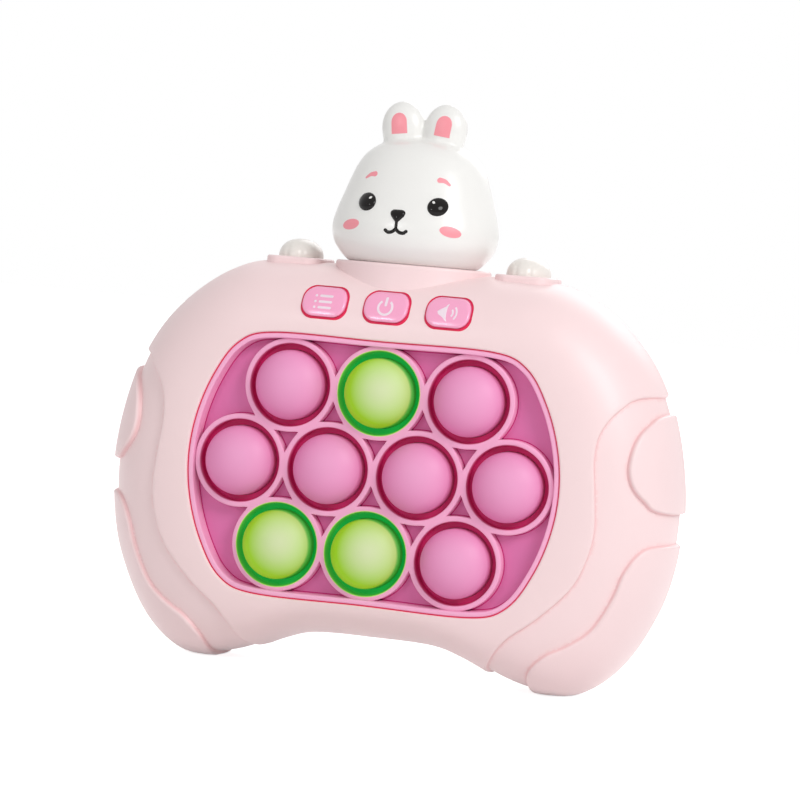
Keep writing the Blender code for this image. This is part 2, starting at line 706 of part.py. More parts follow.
def front_shell():
    shell = body_form("front_shell", 0, BODY_STATIONS, cutter=False)
    shell.data.materials.append(SHELL_FINISH)
    raised_body(shell, "front")
    hollow(shell, "front")
    cut(shell, far_box("front_limit", PARTING_Y - FIT / 2, 2 * FRONT_DEPTH), floor_box("front"))
    back = FRONT_Y + COLLAR_DEPTH
    join(shell, prism("window_collar", window_outline(COLLAR_WALL), FRONT_Y + WALL / 2, back, cutter=True))
    cut(shell, prism("window_cut", window_outline(0), FRONT_Y - OVERRUN, back + OVERRUN, cutter=True))
    half_width, half_height = BUTTON_HALF_WIDTH + FIT, BUTTON_HALF_HEIGHT + FIT
    for name, x in button_places():
        sleeve = rounded_box_outline(half_width + BUTTON_COLLAR, half_height + BUTTON_COLLAR / 2, BUTTON_CORNER)
        sleeve += (x, BUTTON_Z)
        hole = rounded_box_outline(half_width, half_height, BUTTON_CORNER) + (x, BUTTON_Z)
        join(shell, inside_skin(prism(f"{name}_sleeve", sleeve, FRONT_Y, BUTTON_FLANGE_Y - FIT, cutter=True)))
        cut(shell, prism(f"{name}_hole", hole, FRONT_Y - OVERRUN, BUTTON_FLANGE_Y + OVERRUN, cutter=True))
    for i, (x, z) in enumerate(stack_places()):
        start = front_y(x, z, 0) + WALL
        boss = rod(f"stack_boss_{i}", x, z, STACK_RADIUS, FRONT_Y, GUIDE_Y - FIT, BOSS_STEPS)
        join(shell, inside_skin(boss))
        cut(shell, rod(f"stack_pilot_{i}", x, z, SHANK_RADIUS + FIT, start, GUIDE_Y + OVERRUN, BORE_STEPS))
    bore = SHANK_RADIUS + FIT
    pilot_end = PARTING_Y - CASE_SCREW_LENGTH + CASE_SCREW_SEAT - OVERRUN / 4
    for i, (x, z) in enumerate(case_screw_places()):
        boss = rod(f"front_boss_{i}", x, z, BOSS_RADIUS, FRONT_Y, PARTING_Y - FIT / 2, BOSS_STEPS)
        join(shell, inside_skin(boss))
        cut(shell, rod(f"front_pilot_{i}", x, z, bore, pilot_end, PARTING_Y + OVERRUN, BORE_STEPS))
    return tidy(shell)


def rear_shell():
    shell = body_form("rear_shell", 0, BODY_STATIONS, cutter=False)
    shell.data.materials.append(SHELL_FINISH)
    raised_body(shell, "rear")
    hollow(shell, "rear")
    cut(shell, far_box("rear_limit", -2 * FRONT_DEPTH, PARTING_Y + FIT / 2), floor_box("rear"))
    ledge_y = BACK_Y - DOOR_THICKNESS - FIT
    half_l, half_h = BAY_HALF_LENGTH + LEDGE, BAY_HALF_HEIGHT + LEDGE
    ear_z = BAY_Z + half_h
    ear_wall = DOOR_EAR_RADIUS + FIT + LEDGE_WALL
    bay_wall = BAY_HALF_HEIGHT + BAY_WALL
    join(
        shell,
        block(
            "ledge_block",
            (-half_l - FIT - LEDGE_WALL, BACK_Y - LEDGE_DEPTH, BAY_Z - half_h - FIT - LEDGE_WALL),
            (half_l + FIT + LEDGE_WALL, BACK_Y - WALL / 2, BAY_Z + half_h + FIT + LEDGE_WALL), cutter=True,
        ),
        block(
            "bay_block",
            (-BAY_HALF_LENGTH - BAY_WALL, BAY_FLOOR_Y - BAY_WALL, BAY_Z - bay_wall),
            (BAY_HALF_LENGTH + BAY_WALL, BACK_Y - LEDGE_DEPTH / 2, BAY_Z + bay_wall), cutter=True,
        ),
        rod("ear_boss", 0, ear_z, ear_wall, BAY_FLOOR_Y, BACK_Y - WALL / 2, PLAIN_STEPS),
    )
    recess = rounded_box_outline(half_l + FIT, half_h + FIT, DOOR_CORNER + FIT) + (0, BAY_Z)
    cut(
        shell,
        prism("door_recess", recess, ledge_y, BACK_Y + OVERRUN, cutter=True),
        rod("ear_recess", 0, ear_z, DOOR_EAR_RADIUS + FIT, ledge_y - FIT / 2, BACK_Y + OVERRUN, PLAIN_STEPS),
        block(
            "bay_pocket",
            (-BAY_HALF_LENGTH, BAY_FLOOR_Y, BAY_Z - BAY_HALF_HEIGHT),
            (BAY_HALF_LENGTH, BACK_Y + OVERRUN, BAY_Z + BAY_HALF_HEIGHT), cutter=True,
        ),
        rod(
            "door_pilot", 0, ear_z + LEDGE / 2, SHANK_RADIUS + FIT,
            BACK_Y - DOOR_SCREW_LENGTH - SCREW_HEAD_HEIGHT - OVERRUN / 4, BACK_Y, BORE_STEPS,
        ),
    )
    for i, sign in enumerate((-1, 1)):
        start, end = BAY_HALF_LENGTH - EMBED, BAY_HALF_LENGTH + BAY_WALL + EMBED
        y, z = BAY_FLOOR_Y + BAY_WALL, BAY_Z - sign * CELL_PITCH
        low, high = (sign * start, y, z), (sign * end, y, z)
        cut(shell, bar(f"wire_hole_{i}", WIRE_RADIUS + 2 * FIT, low, high, 0, SMALL_STEPS))
    for i, (x, z) in enumerate(case_screw_places()):
        seat = PARTING_Y + CASE_SCREW_SEAT
        radius = SCREW_HEAD_RADIUS + FIT + WALL / 2
        join(shell, inside_skin(rod(f"rear_boss_{i}", x, z, radius, PARTING_Y + FIT / 2, BACK_Y, BOSS_STEPS)))
        cut(
            shell,
            rod(f"rear_well_{i}", x, z, SCREW_HEAD_RADIUS + FIT, seat, BACK_Y + OVERRUN),
            rod(f"rear_hole_{i}", x, z, SHANK_RADIUS + FIT, PARTING_Y - OVERRUN, seat + OVERRUN, BORE_STEPS),
        )
    ring = turned(
        "speaker_ring",
        [
            (SPEAKER_RADIUS + FIT, -(REAR_INNER_Y - SPEAKER_DEPTH)),
            (SPEAKER_RADIUS + FIT + SPEAKER_WALL, -(REAR_INNER_Y - SPEAKER_DEPTH)),
            (SPEAKER_RADIUS + FIT + SPEAKER_WALL, -(REAR_INNER_Y + EMBED)),
            (SPEAKER_RADIUS + FIT, -(REAR_INNER_Y + EMBED)),
        ],
        PLAIN_STEPS + 4, cutter=True, closed=True, place=(0, 0, SPEAKER_Z), turn=FACING_FRONT,
    )
    join(shell, ring)
    for i in range(SPEAKER_SLOTS):
        x = (i - (SPEAKER_SLOTS - 1) / 2) * SLOT_PITCH
        half = ((SPEAKER_RADIUS - 2 * SPEAKER_RIM) ** 2 - x**2) ** 0.5
        slot = rounded_box_outline(SLOT_HALF_WIDTH, half, SLOT_HALF_WIDTH, 2) + (x, SPEAKER_Z)
        cut(shell, prism(f"speaker_slot_{i}", slot, REAR_INNER_Y - EMBED, BACK_Y + OVERRUN, cutter=True))
    return tidy(shell)


def bubble_sheet():
    back = SHEET_FLOOR_Y + SHEET_THICKNESS
    sheet = prism("bubble_sheet", window_outline(COLLAR_WALL), SHEET_FLOOR_Y, back, SILICONE_FINISH)
    lip = prism("sheet_lip", window_outline(-FIT), SHEET_LIP_Y, SHEET_FLOOR_Y + EMBED, cutter=True)
    well_edge = window_outline(-FIT - SHEET_LIP_WIDTH)
    well = prism("sheet_well", well_edge, SHEET_LIP_Y - OVERRUN, SHEET_FLOOR_Y, cutter=True)
    join(sheet, lip)
    cut(sheet, well)
    lip_middle = window_outline(-FIT - SHEET_LIP_WIDTH / 2)
    inside = prism("sheet_inside", lip_middle, RING_Y - OVERRUN, back, cutter=True)
    for i, (x, z) in enumerate(bubble_places()):
        ring = rod(f"ring_{i}", x, z, RING_RADIUS, RING_Y, SHEET_FLOOR_Y + EMBED, FINE_STEPS)
        join(sheet, keep(ring, inside))
    for i, (x, z) in enumerate(bubble_places()):
        cut(sheet, rod(f"groove_{i}", x, z, GROOVE_RADIUS, RING_Y - OVERRUN, back + OVERRUN, FINE_STEPS))
    return sheet


def dome(radius, rise, steps):
    """Points of a round crown, from its top down to its rim."""
    return [(radius * sin(pi / 2 * i / steps), rise * cos(pi / 2 * i / steps)) for i in range(steps + 1)]


def bubbles():
    flange_back = RING_Y - SHEET_FLOOR_Y - SHEET_THICKNESS
    flange_front = flange_back + BUBBLE_FLANGE
    inner = BUBBLE_RADIUS - BUBBLE_WALL
    profile = [
        *dome(BUBBLE_RADIUS, BUBBLE_RISE, 3),
        (BUBBLE_RADIUS, flange_front),
        (GROOVE_RADIUS - FIT, flange_front),
        (GROOVE_RADIUS - FIT, flange_back),
        (inner, flange_back),
        *dome(inner, BUBBLE_RISE - BUBBLE_WALL, 2)[::-1],
    ]
    cap_dome = dome(CAP_RADIUS, BUBBLE_RISE - BUBBLE_WALL - FIT, 2)
    cap_profile = [
        *cap_dome,
        (CAP_RADIUS, RING_Y - CAP_SKIRT_Y),
        (STEM_RADIUS, RING_Y - CAP_SKIRT_Y),
        (STEM_RADIUS, RING_Y - STEM_TIP_Y),
        (0, RING_Y - STEM_TIP_Y),
    ]
    for i, (x, z) in enumerate(bubble_places(), start=1):
        lit = i in LIT_BUBBLES
        material = LIT_FINISH if lit else SILICONE_FINISH
        where = {"place": (x, RING_Y, z), "turn": FACING_FRONT}
        turned(f"bubble_{i:02d}", profile, PLAIN_STEPS, material, **where)
        turned(f"light_cap_{i:02d}", cap_profile, SMALL_STEPS, CLEAR_FINISH, **where)


def ear_web(i, x, z):
    """A web from a stack screw's ear to the nearest corner of the window."""
    across, up = WINDOW_CORNER_SHARES
    ear = Vector((x, z))
    corner = Vector((copysign(WINDOW_HALF_WIDTH * across, x), copysign(WINDOW_HALF_HEIGHT * up, z)))
    side = (corner - ear).orthogonal().normalized() * STACK_RADIUS
    outline = [ear + side, ear - side, corner - side, corner + side]
    return prism(f"ear_web_{i}", outline, GUIDE_Y + FIT / 2, GUIDE_BACK_Y - FIT / 2, cutter=True)


def guide_frame():
    frame = prism("guide_frame", window_outline(COLLAR_WALL), GUIDE_Y, GUIDE_BACK_Y, CLEAR_FINISH)
    rim_top = SHEET_FLOOR_Y + SHEET_THICKNESS + FIT
    rim = prism("guide_rim", window_outline(COLLAR_WALL), rim_top, GUIDE_Y + EMBED, cutter=True)
    inner_edge = window_outline(COLLAR_WALL - GUIDE_RIM)
    rim_well = prism("guide_rim_well", inner_edge, rim_top - OVERRUN, GUIDE_Y + 2 * EMBED, cutter=True)
    join(frame, cut(rim, rim_well))
    places = list(bubble_places())
    bore = SHANK_RADIUS + FIT
    for i, (x, z) in enumerate(stack_places()):
        ear = rod(f"guide_ear_{i}", x, z, GUIDE_EAR_RADIUS, GUIDE_Y, GUIDE_BACK_Y, BOSS_STEPS)
        join(frame, inside_skin(join(ear, ear_web(i, x, z)), WALL + 2 * FIT))
        spacer = rod(f"guide_post_{i}", x, z, STACK_RADIUS, GUIDE_BACK_Y - EMBED, BOARD_Y - FIT, BOSS_STEPS)
        join(frame, spacer)
        cut(frame, rod(f"guide_hole_{i}", x, z, bore, GUIDE_Y - OVERRUN, BOARD_Y + OVERRUN, BORE_STEPS))
    for i, (x, z) in enumerate(places):
        cut(frame, rod(f"stem_hole_{i}", x, z, STEM_RADIUS + FIT, GUIDE_Y - OVERRUN, GUIDE_BACK_Y + OVERRUN))
    for i, (x, z) in enumerate(places[: ROWS[0]] + places[-ROWS[2] :]):
        join(frame, rod(f"guide_peg_{i}", x, z / 3, GUIDE_PEG_RADIUS, rim_top, GUIDE_Y + EMBED, BORE_STEPS))
    return frame


def main_board():
    half_height = (BOARD_TOP - BOARD_BOTTOM) / 2
    outline = rounded_box_outline(BOARD_HALF_WIDTH, half_height, BOARD_CORNER, 3)
    outline += (0, BOARD_BOTTOM + half_height)
    board = prism("main_board", outline, BOARD_Y, BOARD_BACK_Y, BOARD_FINISH)
    for i, (x, z) in enumerate(stack_places()):
        bore = SHANK_RADIUS + FIT
        cut(board, rod(f"board_hole_{i}", x, z, bore, BOARD_Y - OVERRUN, BOARD_BACK_Y + OVERRUN, BORE_STEPS))
    for i, (x, z) in enumerate(bubble_places()):
        join(board, block(
            f"light_{i}",
            (x - LIGHT_HALF_SIDE, BOARD_Y - LIGHT_HEIGHT, z - LIGHT_HALF_SIDE),
            (x + LIGHT_HALF_SIDE, BOARD_Y + EMBED, z + LIGHT_HALF_SIDE), cutter=True,
        ))
    chip = CELL_PITCH / 2
    low, high = (-chip, BOARD_BACK_Y - EMBED, -chip), (chip, BOARD_BACK_Y + WALL, chip)
    join(board, block("chip", low, high, cutter=True))
    return board


def contact_mat():
    back = MAT_Y + MAT_THICKNESS
    low, high = (-MAT_INNER_HALF_WIDTH, MAT_Y, MAT_BOTTOM), (MAT_INNER_HALF_WIDTH, back, MAT_TOP)
    mat = block("contact_mat", low, high, RUBBER_FINISH)
    low, high = (-MAT_HALF_WIDTH, MAT_Y - FIT / 10, -MAT_HALF_WAIST), (MAT_HALF_WIDTH, back, MAT_HALF_WAIST)
    join(mat, block("mat_waist", low, high, cutter=True))
    for i, (x, z) in enumerate(bubble_places()):
        join(mat, rod(f"bump_{i}", x, z, BUMP_RADIUS, BUMP_Y, MAT_Y + EMBED, BOSS_STEPS))
        cut(mat, rod(f"bump_hole_{i}", x, z, BUMP_HOLE, BUMP_Y - OVERRUN, back + OVERRUN, BORE_STEPS))
    for name, x in button_places():
        join(mat, rod(f"{name}_bump", x, BUTTON_Z, STEM_RADIUS, BUMP_Y, MAT_Y + EMBED))
    return mat


def buttons():
    back = BUTTON_FLANGE_Y + BUTTON_FLANGE_THICKNESS
    tip = BUMP_Y - BUTTON_TRAVEL - FIT
    skin = body_form("button_skin", PANEL_RISE + BUTTON_PROUD, BODY_STATIONS)
    for name, x in button_places():
        outline = rounded_box_outline(BUTTON_HALF_WIDTH, BUTTON_HALF_HEIGHT, BUTTON_CORNER)
        button = prism(
            name, outline, FRONT_Y - OVERRUN, back, BUTTON_FINISH, place=(x, 0, BUTTON_Z)
        )
        keep(button, skin)
        wing = BUTTON_HALF_WIDTH + FIT + BUTTON_FLANGE_SIDE
        flat = BUTTON_FLANGE_HALF_HEIGHT
        low, high = (x - wing, BUTTON_FLANGE_Y, BUTTON_Z - flat), (x + wing, back - FIT / 3, BUTTON_Z + flat)
        join(button, block(f"{name}_flange", low, high, cutter=True))
        join(button, rod(f"{name}_stem", x, BUTTON_Z, STEM_RADIUS, back - EMBED, tip))


def screw(name, x, z, seat_y, length, towards_front=True):
    """A pan-head screw whose head sits on seat_y and whose shank runs to the front."""
    profile = [
        (0, SCREW_HEAD_HEIGHT), (SCREW_HEAD_RADIUS * SCREW_TOP_SHARE, SCREW_HEAD_HEIGHT),
        (SCREW_HEAD_RADIUS, 0), (SHANK_RADIUS, 0), (SHANK_RADIUS, -length + SHANK_RADIUS), (0, -length),
    ]
    made = turned(name, profile, SMALL_STEPS, STEEL_FINISH, place=(x, seat_y, z), turn=FACING_BACK)
    top = seat_y + SCREW_HEAD_HEIGHT
    wide = SCREW_HEAD_RADIUS * SLOT_LENGTH_SHARE
    for i, (half_x, half_z) in enumerate(((wide, SLOT_WIDTH / 2), (SLOT_WIDTH / 2, wide))):
        low, high = (x - half_x, top - SLOT_DEPTH, z - half_z), (x + half_x, top + OVERRUN, z + half_z)
        cut(made, block(f"{name}_slot_{i}", low, high, cutter=True))
    return made


def screws():
    for i, (x, z) in enumerate(case_screw_places(), start=1):
        screw(f"case_screw_{i}", x, z, PARTING_Y + CASE_SCREW_SEAT + FIT, CASE_SCREW_LENGTH)
    for i, (x, z) in enumerate(stack_places(), start=1):
        seat = BOARD_BACK_Y + FIT
        screw(f"stack_screw_{i}", x, z, seat, seat - GUIDE_Y + CASE_SCREW_SEAT / 2)


def battery_door():
    half_l, half_h = BAY_HALF_LENGTH + LEDGE, BAY_HALF_HEIGHT + LEDGE
    inner_y = BACK_Y - DOOR_THICKNESS
    ear_z = BAY_Z + half_h
    outline = rounded_box_outline(half_l, half_h, DOOR_CORNER) + (0, BAY_Z)
    door = prism("battery_door", outline, inner_y, BACK_Y, SHELL_FINISH)
    join(door, rod("door_ear", 0, ear_z, DOOR_EAR_RADIUS, inner_y - FIT / 4, BACK_Y - FIT / 4, PLAIN_STEPS))
    place = ear_z + LEDGE / 2
    seat = BACK_Y - SCREW_HEAD_HEIGHT - FIT
    cut(
        door,
        rod("door_well", 0, place, SCREW_HEAD_RADIUS + FIT, seat, BACK_Y + OVERRUN),
        rod("door_hole", 0, place, SHANK_RADIUS + FIT, inner_y - OVERRUN, BACK_Y + OVERRUN, BORE_STEPS),
    )
    screw("battery_door_screw", 0, place, BACK_Y - SCREW_HEAD_HEIGHT, DOOR_SCREW_LENGTH)


def batteries():
    profile = [
        (0, CELL_LENGTH + NUB_LENGTH), (NUB_RADIUS, CELL_LENGTH + NUB_LENGTH), (NUB_RADIUS, CELL_LENGTH),
        (CELL_RADIUS, CELL_LENGTH), (CELL_RADIUS, 0), (0, 0),
    ]
    y = BAY_FLOOR_Y + FIT + CELL_RADIUS
    reach = BAY_HALF_LENGTH - 2 * FIT - CONTACT_THICKNESS - CELL_LENGTH - NUB_LENGTH
    for i in range(CELL_COUNT):
        towards = -1 if i % 2 == 0 else 1
        turned(
            f"battery_{i + 1}", profile, PLAIN_STEPS, CELL_FINISH,
            place=(towards * reach, y, BAY_Z + (1 - i) * CELL_PITCH), turn=(0, towards * pi / 2, 0),
        )


def as_mesh(curve_object, name):
    """A curve's evaluated shape as a closed mesh, hidden among the cutters."""
    bpy.context.view_layer.update()
    evaluated = curve_object.evaluated_get(bpy.context.evaluated_depsgraph_get())
    mesh = bpy.data.meshes.new_from_object(evaluated)
    work = bmesh.new()
    work.from_mesh(mesh)
    bmesh.ops.remove_doubles(work, verts=work.verts, dist=SPRING_WIRE / 100)
    work.to_mesh(mesh)
    work.free()
    made = add(name, mesh, cutter=True)
    made.matrix_world = curve_object.matrix_world.copy()
    bpy.data.objects.remove(curve_object)
    return made


def tube(name, points, radius, material=None, resolution=2):
    """A wire through the points."""
    curve = bpy.data.curves.new(name, "CURVE")
    curve.dimensions = "3D"
    curve.bevel_depth = radius
    curve.bevel_resolution = resolution
    curve.use_fill_caps = True
    spline = curve.splines.new("POLY")
    spline.points.add(len(points) - 1)
    for place, point in zip(spline.points, points):
        place.co = (*point, 1)
    return add(name, curve, material)


def coil(name, sign, z):
    """A cone spring from its plate towards the cell's flat end."""
    y = BAY_FLOOR_Y + FIT + CELL_RADIUS
    start = BAY_HALF_LENGTH - FIT - CONTACT_THICKNESS + SPRING_WIRE / 2
    cell_end = BAY_HALF_LENGTH - 2 * FIT - CONTACT_THICKNESS - CELL_LENGTH - NUB_LENGTH
    end = -cell_end + FIT + SPRING_WIRE
    count = int(SPRING_TURNS * SPRING_POINTS_PER_TURN)
    points = []
    for i in range(count + 1):
        share = i / count
        radius = SPRING_RADIUS + (SPRING_TIP_RADIUS - SPRING_RADIUS) * share
        turn = 2 * pi * SPRING_TURNS * share
        along = sign * (start + (end - start) * share)
        points.append((along, y + radius * cos(turn), z + radius * sin(turn)))
    return as_mesh(tube(name + "_wire", points, SPRING_WIRE, resolution=1), name)


def contact(name, sign, z_top, z_bottom, spring_z=None):
    """A plated strip on the bay's end wall, with a cone spring where a cell's flat end meets it."""
    y = BAY_FLOOR_Y + FIT + CELL_RADIUS
    outer, inner = BAY_HALF_LENGTH - FIT, BAY_HALF_LENGTH - FIT - CONTACT_THICKNESS
    low, high = sorted((sign * outer, sign * inner))
    made = block(
        name, (low, y - CONTACT_HALF_SIDE, z_bottom - CONTACT_HALF_SIDE),
        (high, y + CONTACT_HALF_SIDE, z_top + CONTACT_HALF_SIDE), STEEL_FINISH,
    )
    if spring_z is not None:
        join(made, coil(name + "_spring", sign, spring_z))
    return made


def contacts():
    top, middle, bottom = (BAY_Z + step * CELL_PITCH for step in (1, 0, -1))
    contact("contact_positive", -1, top, top)
    contact("contact_link_left", -1, middle, bottom, middle)
    contact("contact_link_right", 1, top, middle, top)
    contact("contact_negative", 1, bottom, bottom, bottom)


def speaker():
    back = -(REAR_INNER_Y - 2 * FIT)
    basket = [
        (SPEAKER_RADIUS, back), (SPEAKER_RADIUS, back + SPEAKER_RIM),
        (MAGNET_RADIUS, back + SPEAKER_DEPTH / 2), (MAGNET_RADIUS, back + SPEAKER_DEPTH),
        (0, back + SPEAKER_DEPTH), (0, back + SPEAKER_DEPTH / 2),
        (MAGNET_RADIUS - SPEAKER_RIM, back + SPEAKER_DEPTH / 2 - SPEAKER_RIM / 2),
        (SPEAKER_RADIUS - SPEAKER_RIM, back),
    ]
    ends = basket[4:6]
    profile = [ends[0], *basket[:4][::-1], *basket[6:][::-1], ends[1]]
    where = {"place": (0, 0, SPEAKER_Z), "turn": FACING_FRONT}
    turned("speaker_basket", profile, PLAIN_STEPS + 4, BLACK_FINISH, **where)
    cone_top = back + SPEAKER_DEPTH / 2 - SPEAKER_RIM
    cone_edge = SPEAKER_RADIUS - SPEAKER_RIM - 4 * FIT
    cone = [
        (0, cone_top), (MAGNET_RADIUS / 2, cone_top), (cone_edge, back + FIT),
        (cone_edge, back), (MAGNET_RADIUS / 2, cone_top - 2 * FIT), (0, cone_top - 2 * FIT),
    ]
    turned("speaker_cone", cone, PLAIN_STEPS, BLACK_FINISH, **where)


def head_rings(shrink, count):
    """Level outlines of the head: a wide rounded jaw, a slimmer crown, flatter in front low down."""
    turns = np.arange(count) * 2 * pi / count
    rings = []
    for height_share, width_share in HEAD_LEVELS_SHARES:
        width = HEAD_HALF_WIDTH * width_share - shrink
        depth = HEAD_HALF_DEPTH * width_share - shrink
        z = HEAD_BOTTOM + shrink + (HEAD_HEIGHT - 2 * shrink) * height_share
        across = np.sign(np.cos(turns)) * np.abs(np.cos(turns)) ** HEAD_ROUNDNESS
        deep = np.sign(np.sin(turns)) * np.abs(np.sin(turns)) ** HEAD_ROUNDNESS
        rings.append(np.stack([width * across, HEAD_Y + depth * deep, np.full(count, z)], axis=1))
    return rings


def head_half(name, y_from, y_to):
    head = loft(name, head_rings(0, HEAD_STATIONS), WHITE_FINISH)
    for sign, side in ((-1, "left"), (1, "right")):
        work = bmesh.new()
        bmesh.ops.create_uvsphere(work, u_segments=12, v_segments=8, radius=1)
        bmesh.ops.scale(work, vec=(EAR_HALF_WIDTH, EAR_HALF_DEPTH, EAR_HALF_HEIGHT), verts=work.verts)
        ear = add(f"{name}_{side}_ear", mesh_of(name, work), cutter=True)
        ear.location = (sign * EAR_X, HEAD_Y, EAR_Z)
        ear.rotation_euler = (0, sign * radians(EAR_TILT), 0)
        join(head, ear)
    flange_top = NECK_BLOCK_FLOOR - FIT
    floor = HEAD_BOTTOM + HEAD_FLOOR
    cut(head, loft(f"{name}_inside", head_rings(HEAD_WALL, HEAD_INNER_STATIONS), cutter=True))
    join(head, post(f"{name}_neck", 0, PARTING_Y, NECK_TUBE_RADIUS, flange_top - EMBED, floor, FINE_STEPS))
    flange_bottom = flange_top - NECK_FLANGE_THICKNESS
    join(head, post(f"{name}_flange", 0, PARTING_Y, NECK_FLANGE_RADIUS, flange_bottom, flange_top, FINE_STEPS))
    cut(head, post(f"{name}_bore", 0, PARTING_Y, NECK_TUBE_BORE, NECK_FOOT, floor + OVERRUN))
    cut(head, far_box(f"{name}_limit", y_from, y_to))
    return head


def head():
    reach = 2 * HEAD_HALF_DEPTH
    head_half("head_front", PARTING_Y - FIT / 2, PARTING_Y + reach)
    head_half("head_rear", PARTING_Y - 2 * reach, PARTING_Y + FIT / 2)
    floor = HEAD_BOTTOM + HEAD_FLOOR + FIT
    board = post(
        "head_light_board", 0, PARTING_Y, HEAD_BOARD_RADIUS, floor, floor + HEAD_BOARD_THICKNESS,
        PLAIN_STEPS, False, BOARD_FINISH,
    )
    top = floor + HEAD_BOARD_THICKNESS
    for i, sign in enumerate((-1, 1)):
        join(board, block(
            f"head_light_{i}",
            (sign * STEM_RADIUS - LIGHT_HALF_SIDE, PARTING_Y - LIGHT_HALF_SIDE, top - EMBED),
            (sign * STEM_RADIUS + LIGHT_HALF_SIDE, PARTING_Y + LIGHT_HALF_SIDE, top + LIGHT_HEIGHT),
            cutter=True,
        ))


def paws():
    for sign, side in ((-1, "left"), (1, "right")):
        rings = []
        for turn in PAW_LEVEL_DEGREES:
            z = PAW_COLLAR_TOP + FIT + PAW_RISE * sin(radians(turn))
            share = cos(radians(turn))
            outline = ellipse(PAW_HALF_WIDTH * share, PAW_HALF_DEPTH * share, PAW_STATIONS)
            rings.append([(x, y, z) for x, y in outline])
        paw = loft(f"paw_{side}", rings, WHITE_FINISH, place=(sign * PAW_X, PAW_Y, 0))
        stem_foot = BODY_TOP - WALL - PAW_FLANGE_DROP
        join(paw, post(
            f"paw_{side}_stem", sign * PAW_X, PARTING_Y, PAW_STEM_RADIUS,
            stem_foot - EMBED, PAW_COLLAR_TOP + FIT + EMBED, SMALL_STEPS,
        ))
        join(paw, post(
            f"paw_{side}_flange", sign * PAW_X, PARTING_Y, PAW_FLANGE_RADIUS,
            stem_foot - PAW_FLANGE_THICKNESS, stem_foot, SMALL_STEPS,
        ))


def wires():
    """Inner leads: each runs from its terminal to the back of the main board and ends square to it."""
    top, bottom = BAY_Z + CELL_PITCH, BAY_Z - CELL_PITCH
    bay_y = BAY_FLOOR_Y + BAY_WALL
    board = BOARD_BACK_Y + FIT
    bend = board + CELL_RADIUS / 2
    for name, sign, z, material in (
        ("battery_wire_red", -1, top, RED_FINISH), ("battery_wire_black", 1, bottom, BLACK_FINISH),
    ):
        wall = BAY_HALF_LENGTH + 2 * BAY_WALL
        points = smooth_path([
            (sign * BAY_HALF_LENGTH, bay_y, z), (sign * wall, bay_y, z),
            (sign * (wall + CELL_RADIUS), (bay_y + bend) / 2, z + CELL_RADIUS),
            (sign * wall, bend, z + 2 * CELL_RADIUS), (sign * wall, board, z + 2 * CELL_RADIUS),
        ], 3)
        tube(name, points, WIRE_RADIUS, material)
    terminal_y = REAR_INNER_Y - 2 * FIT - SPEAKER_DEPTH - FIT - WIRE_RADIUS
    points = smooth_path([
        (0, terminal_y, SPEAKER_Z), (MAGNET_RADIUS, terminal_y, SPEAKER_Z + MAGNET_RADIUS / 2),
        (SPEAKER_RADIUS, (terminal_y + bend) / 2, SPEAKER_Z),
        (SPEAKER_RADIUS, bend, SPEAKER_Z - MAGNET_RADIUS), (SPEAKER_RADIUS, board, SPEAKER_Z - MAGNET_RADIUS),
    ], 3)
    tube("speaker_wires", points, WIRE_RADIUS, RED_FINISH)
    head_end = HEAD_BOTTOM + HEAD_FLOOR
    points = smooth_path([
        (0, PARTING_Y, head_end), (0, PARTING_Y, NECK_BLOCK_FLOOR), (0, PARTING_Y, BOARD_TOP - WALL),
        (0, bend, BOARD_TOP - 2 * CELL_RADIUS), (0, board, BOARD_TOP - 2 * CELL_RADIUS),
    ], 3)
    tube("head_wires", points, WIRE_RADIUS, BLACK_FINISH)


def smooth_path(points, per_span):
    """A Catmull-Rom path through points in space."""
    points = np.array(points, float)
    knots = np.vstack([2 * points[0] - points[1], points, 2 * points[-1] - points[-2]])
    path = []
    for a, b, c, d in zip(knots, knots[1:], knots[2:], knots[3:]):
        for t in np.arange(per_span) / per_span:
            path.append(between(a, b, c, d, t))
    return [*path, points[-1]]


def shade():
    """Smooth shading with sharp edges kept."""
    for item in PARTS.objects:
        if item.type == "MESH":
            item.data.shade_smooth()
            item.data.set_sharp_from_angle(angle=radians(35))


front_shell()
rear_shell()
bubble_sheet()
bubbles()
guide_frame()
main_board()
contact_mat()
buttons()
screws()
battery_door()
batteries()
contacts()
speaker()
head()
paws()
wires()
shade()
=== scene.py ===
"""Dresses the push-bubble game: shells, silicone sheet, domes, buttons, rabbit head and their finishes."""

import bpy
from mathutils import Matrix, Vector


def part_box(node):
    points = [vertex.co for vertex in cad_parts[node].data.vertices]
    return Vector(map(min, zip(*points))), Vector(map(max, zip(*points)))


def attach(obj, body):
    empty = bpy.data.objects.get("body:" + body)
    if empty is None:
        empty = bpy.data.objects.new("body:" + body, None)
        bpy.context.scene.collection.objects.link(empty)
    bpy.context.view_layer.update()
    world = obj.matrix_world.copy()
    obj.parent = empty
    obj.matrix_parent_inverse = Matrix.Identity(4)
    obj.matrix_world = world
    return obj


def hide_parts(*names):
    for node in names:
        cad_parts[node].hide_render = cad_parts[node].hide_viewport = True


bl_info = {
    "name": "Push Bubble Game",
    "version": (1, 0, 0),
    "blender": (4, 5, 0),
    "location": "3D View > Sidebar > Bubble Game",
    "description": "Builds the visible pieces of a push-bubble game round its packed frame",
    "category": "Object",
}

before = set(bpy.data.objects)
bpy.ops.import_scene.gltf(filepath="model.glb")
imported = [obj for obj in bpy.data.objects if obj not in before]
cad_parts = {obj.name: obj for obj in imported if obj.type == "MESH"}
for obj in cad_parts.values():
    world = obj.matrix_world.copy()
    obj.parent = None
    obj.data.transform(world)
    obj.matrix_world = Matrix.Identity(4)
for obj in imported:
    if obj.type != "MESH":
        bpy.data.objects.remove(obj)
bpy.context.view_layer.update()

from contextlib import contextmanager
from math import cos, pi, radians, sin

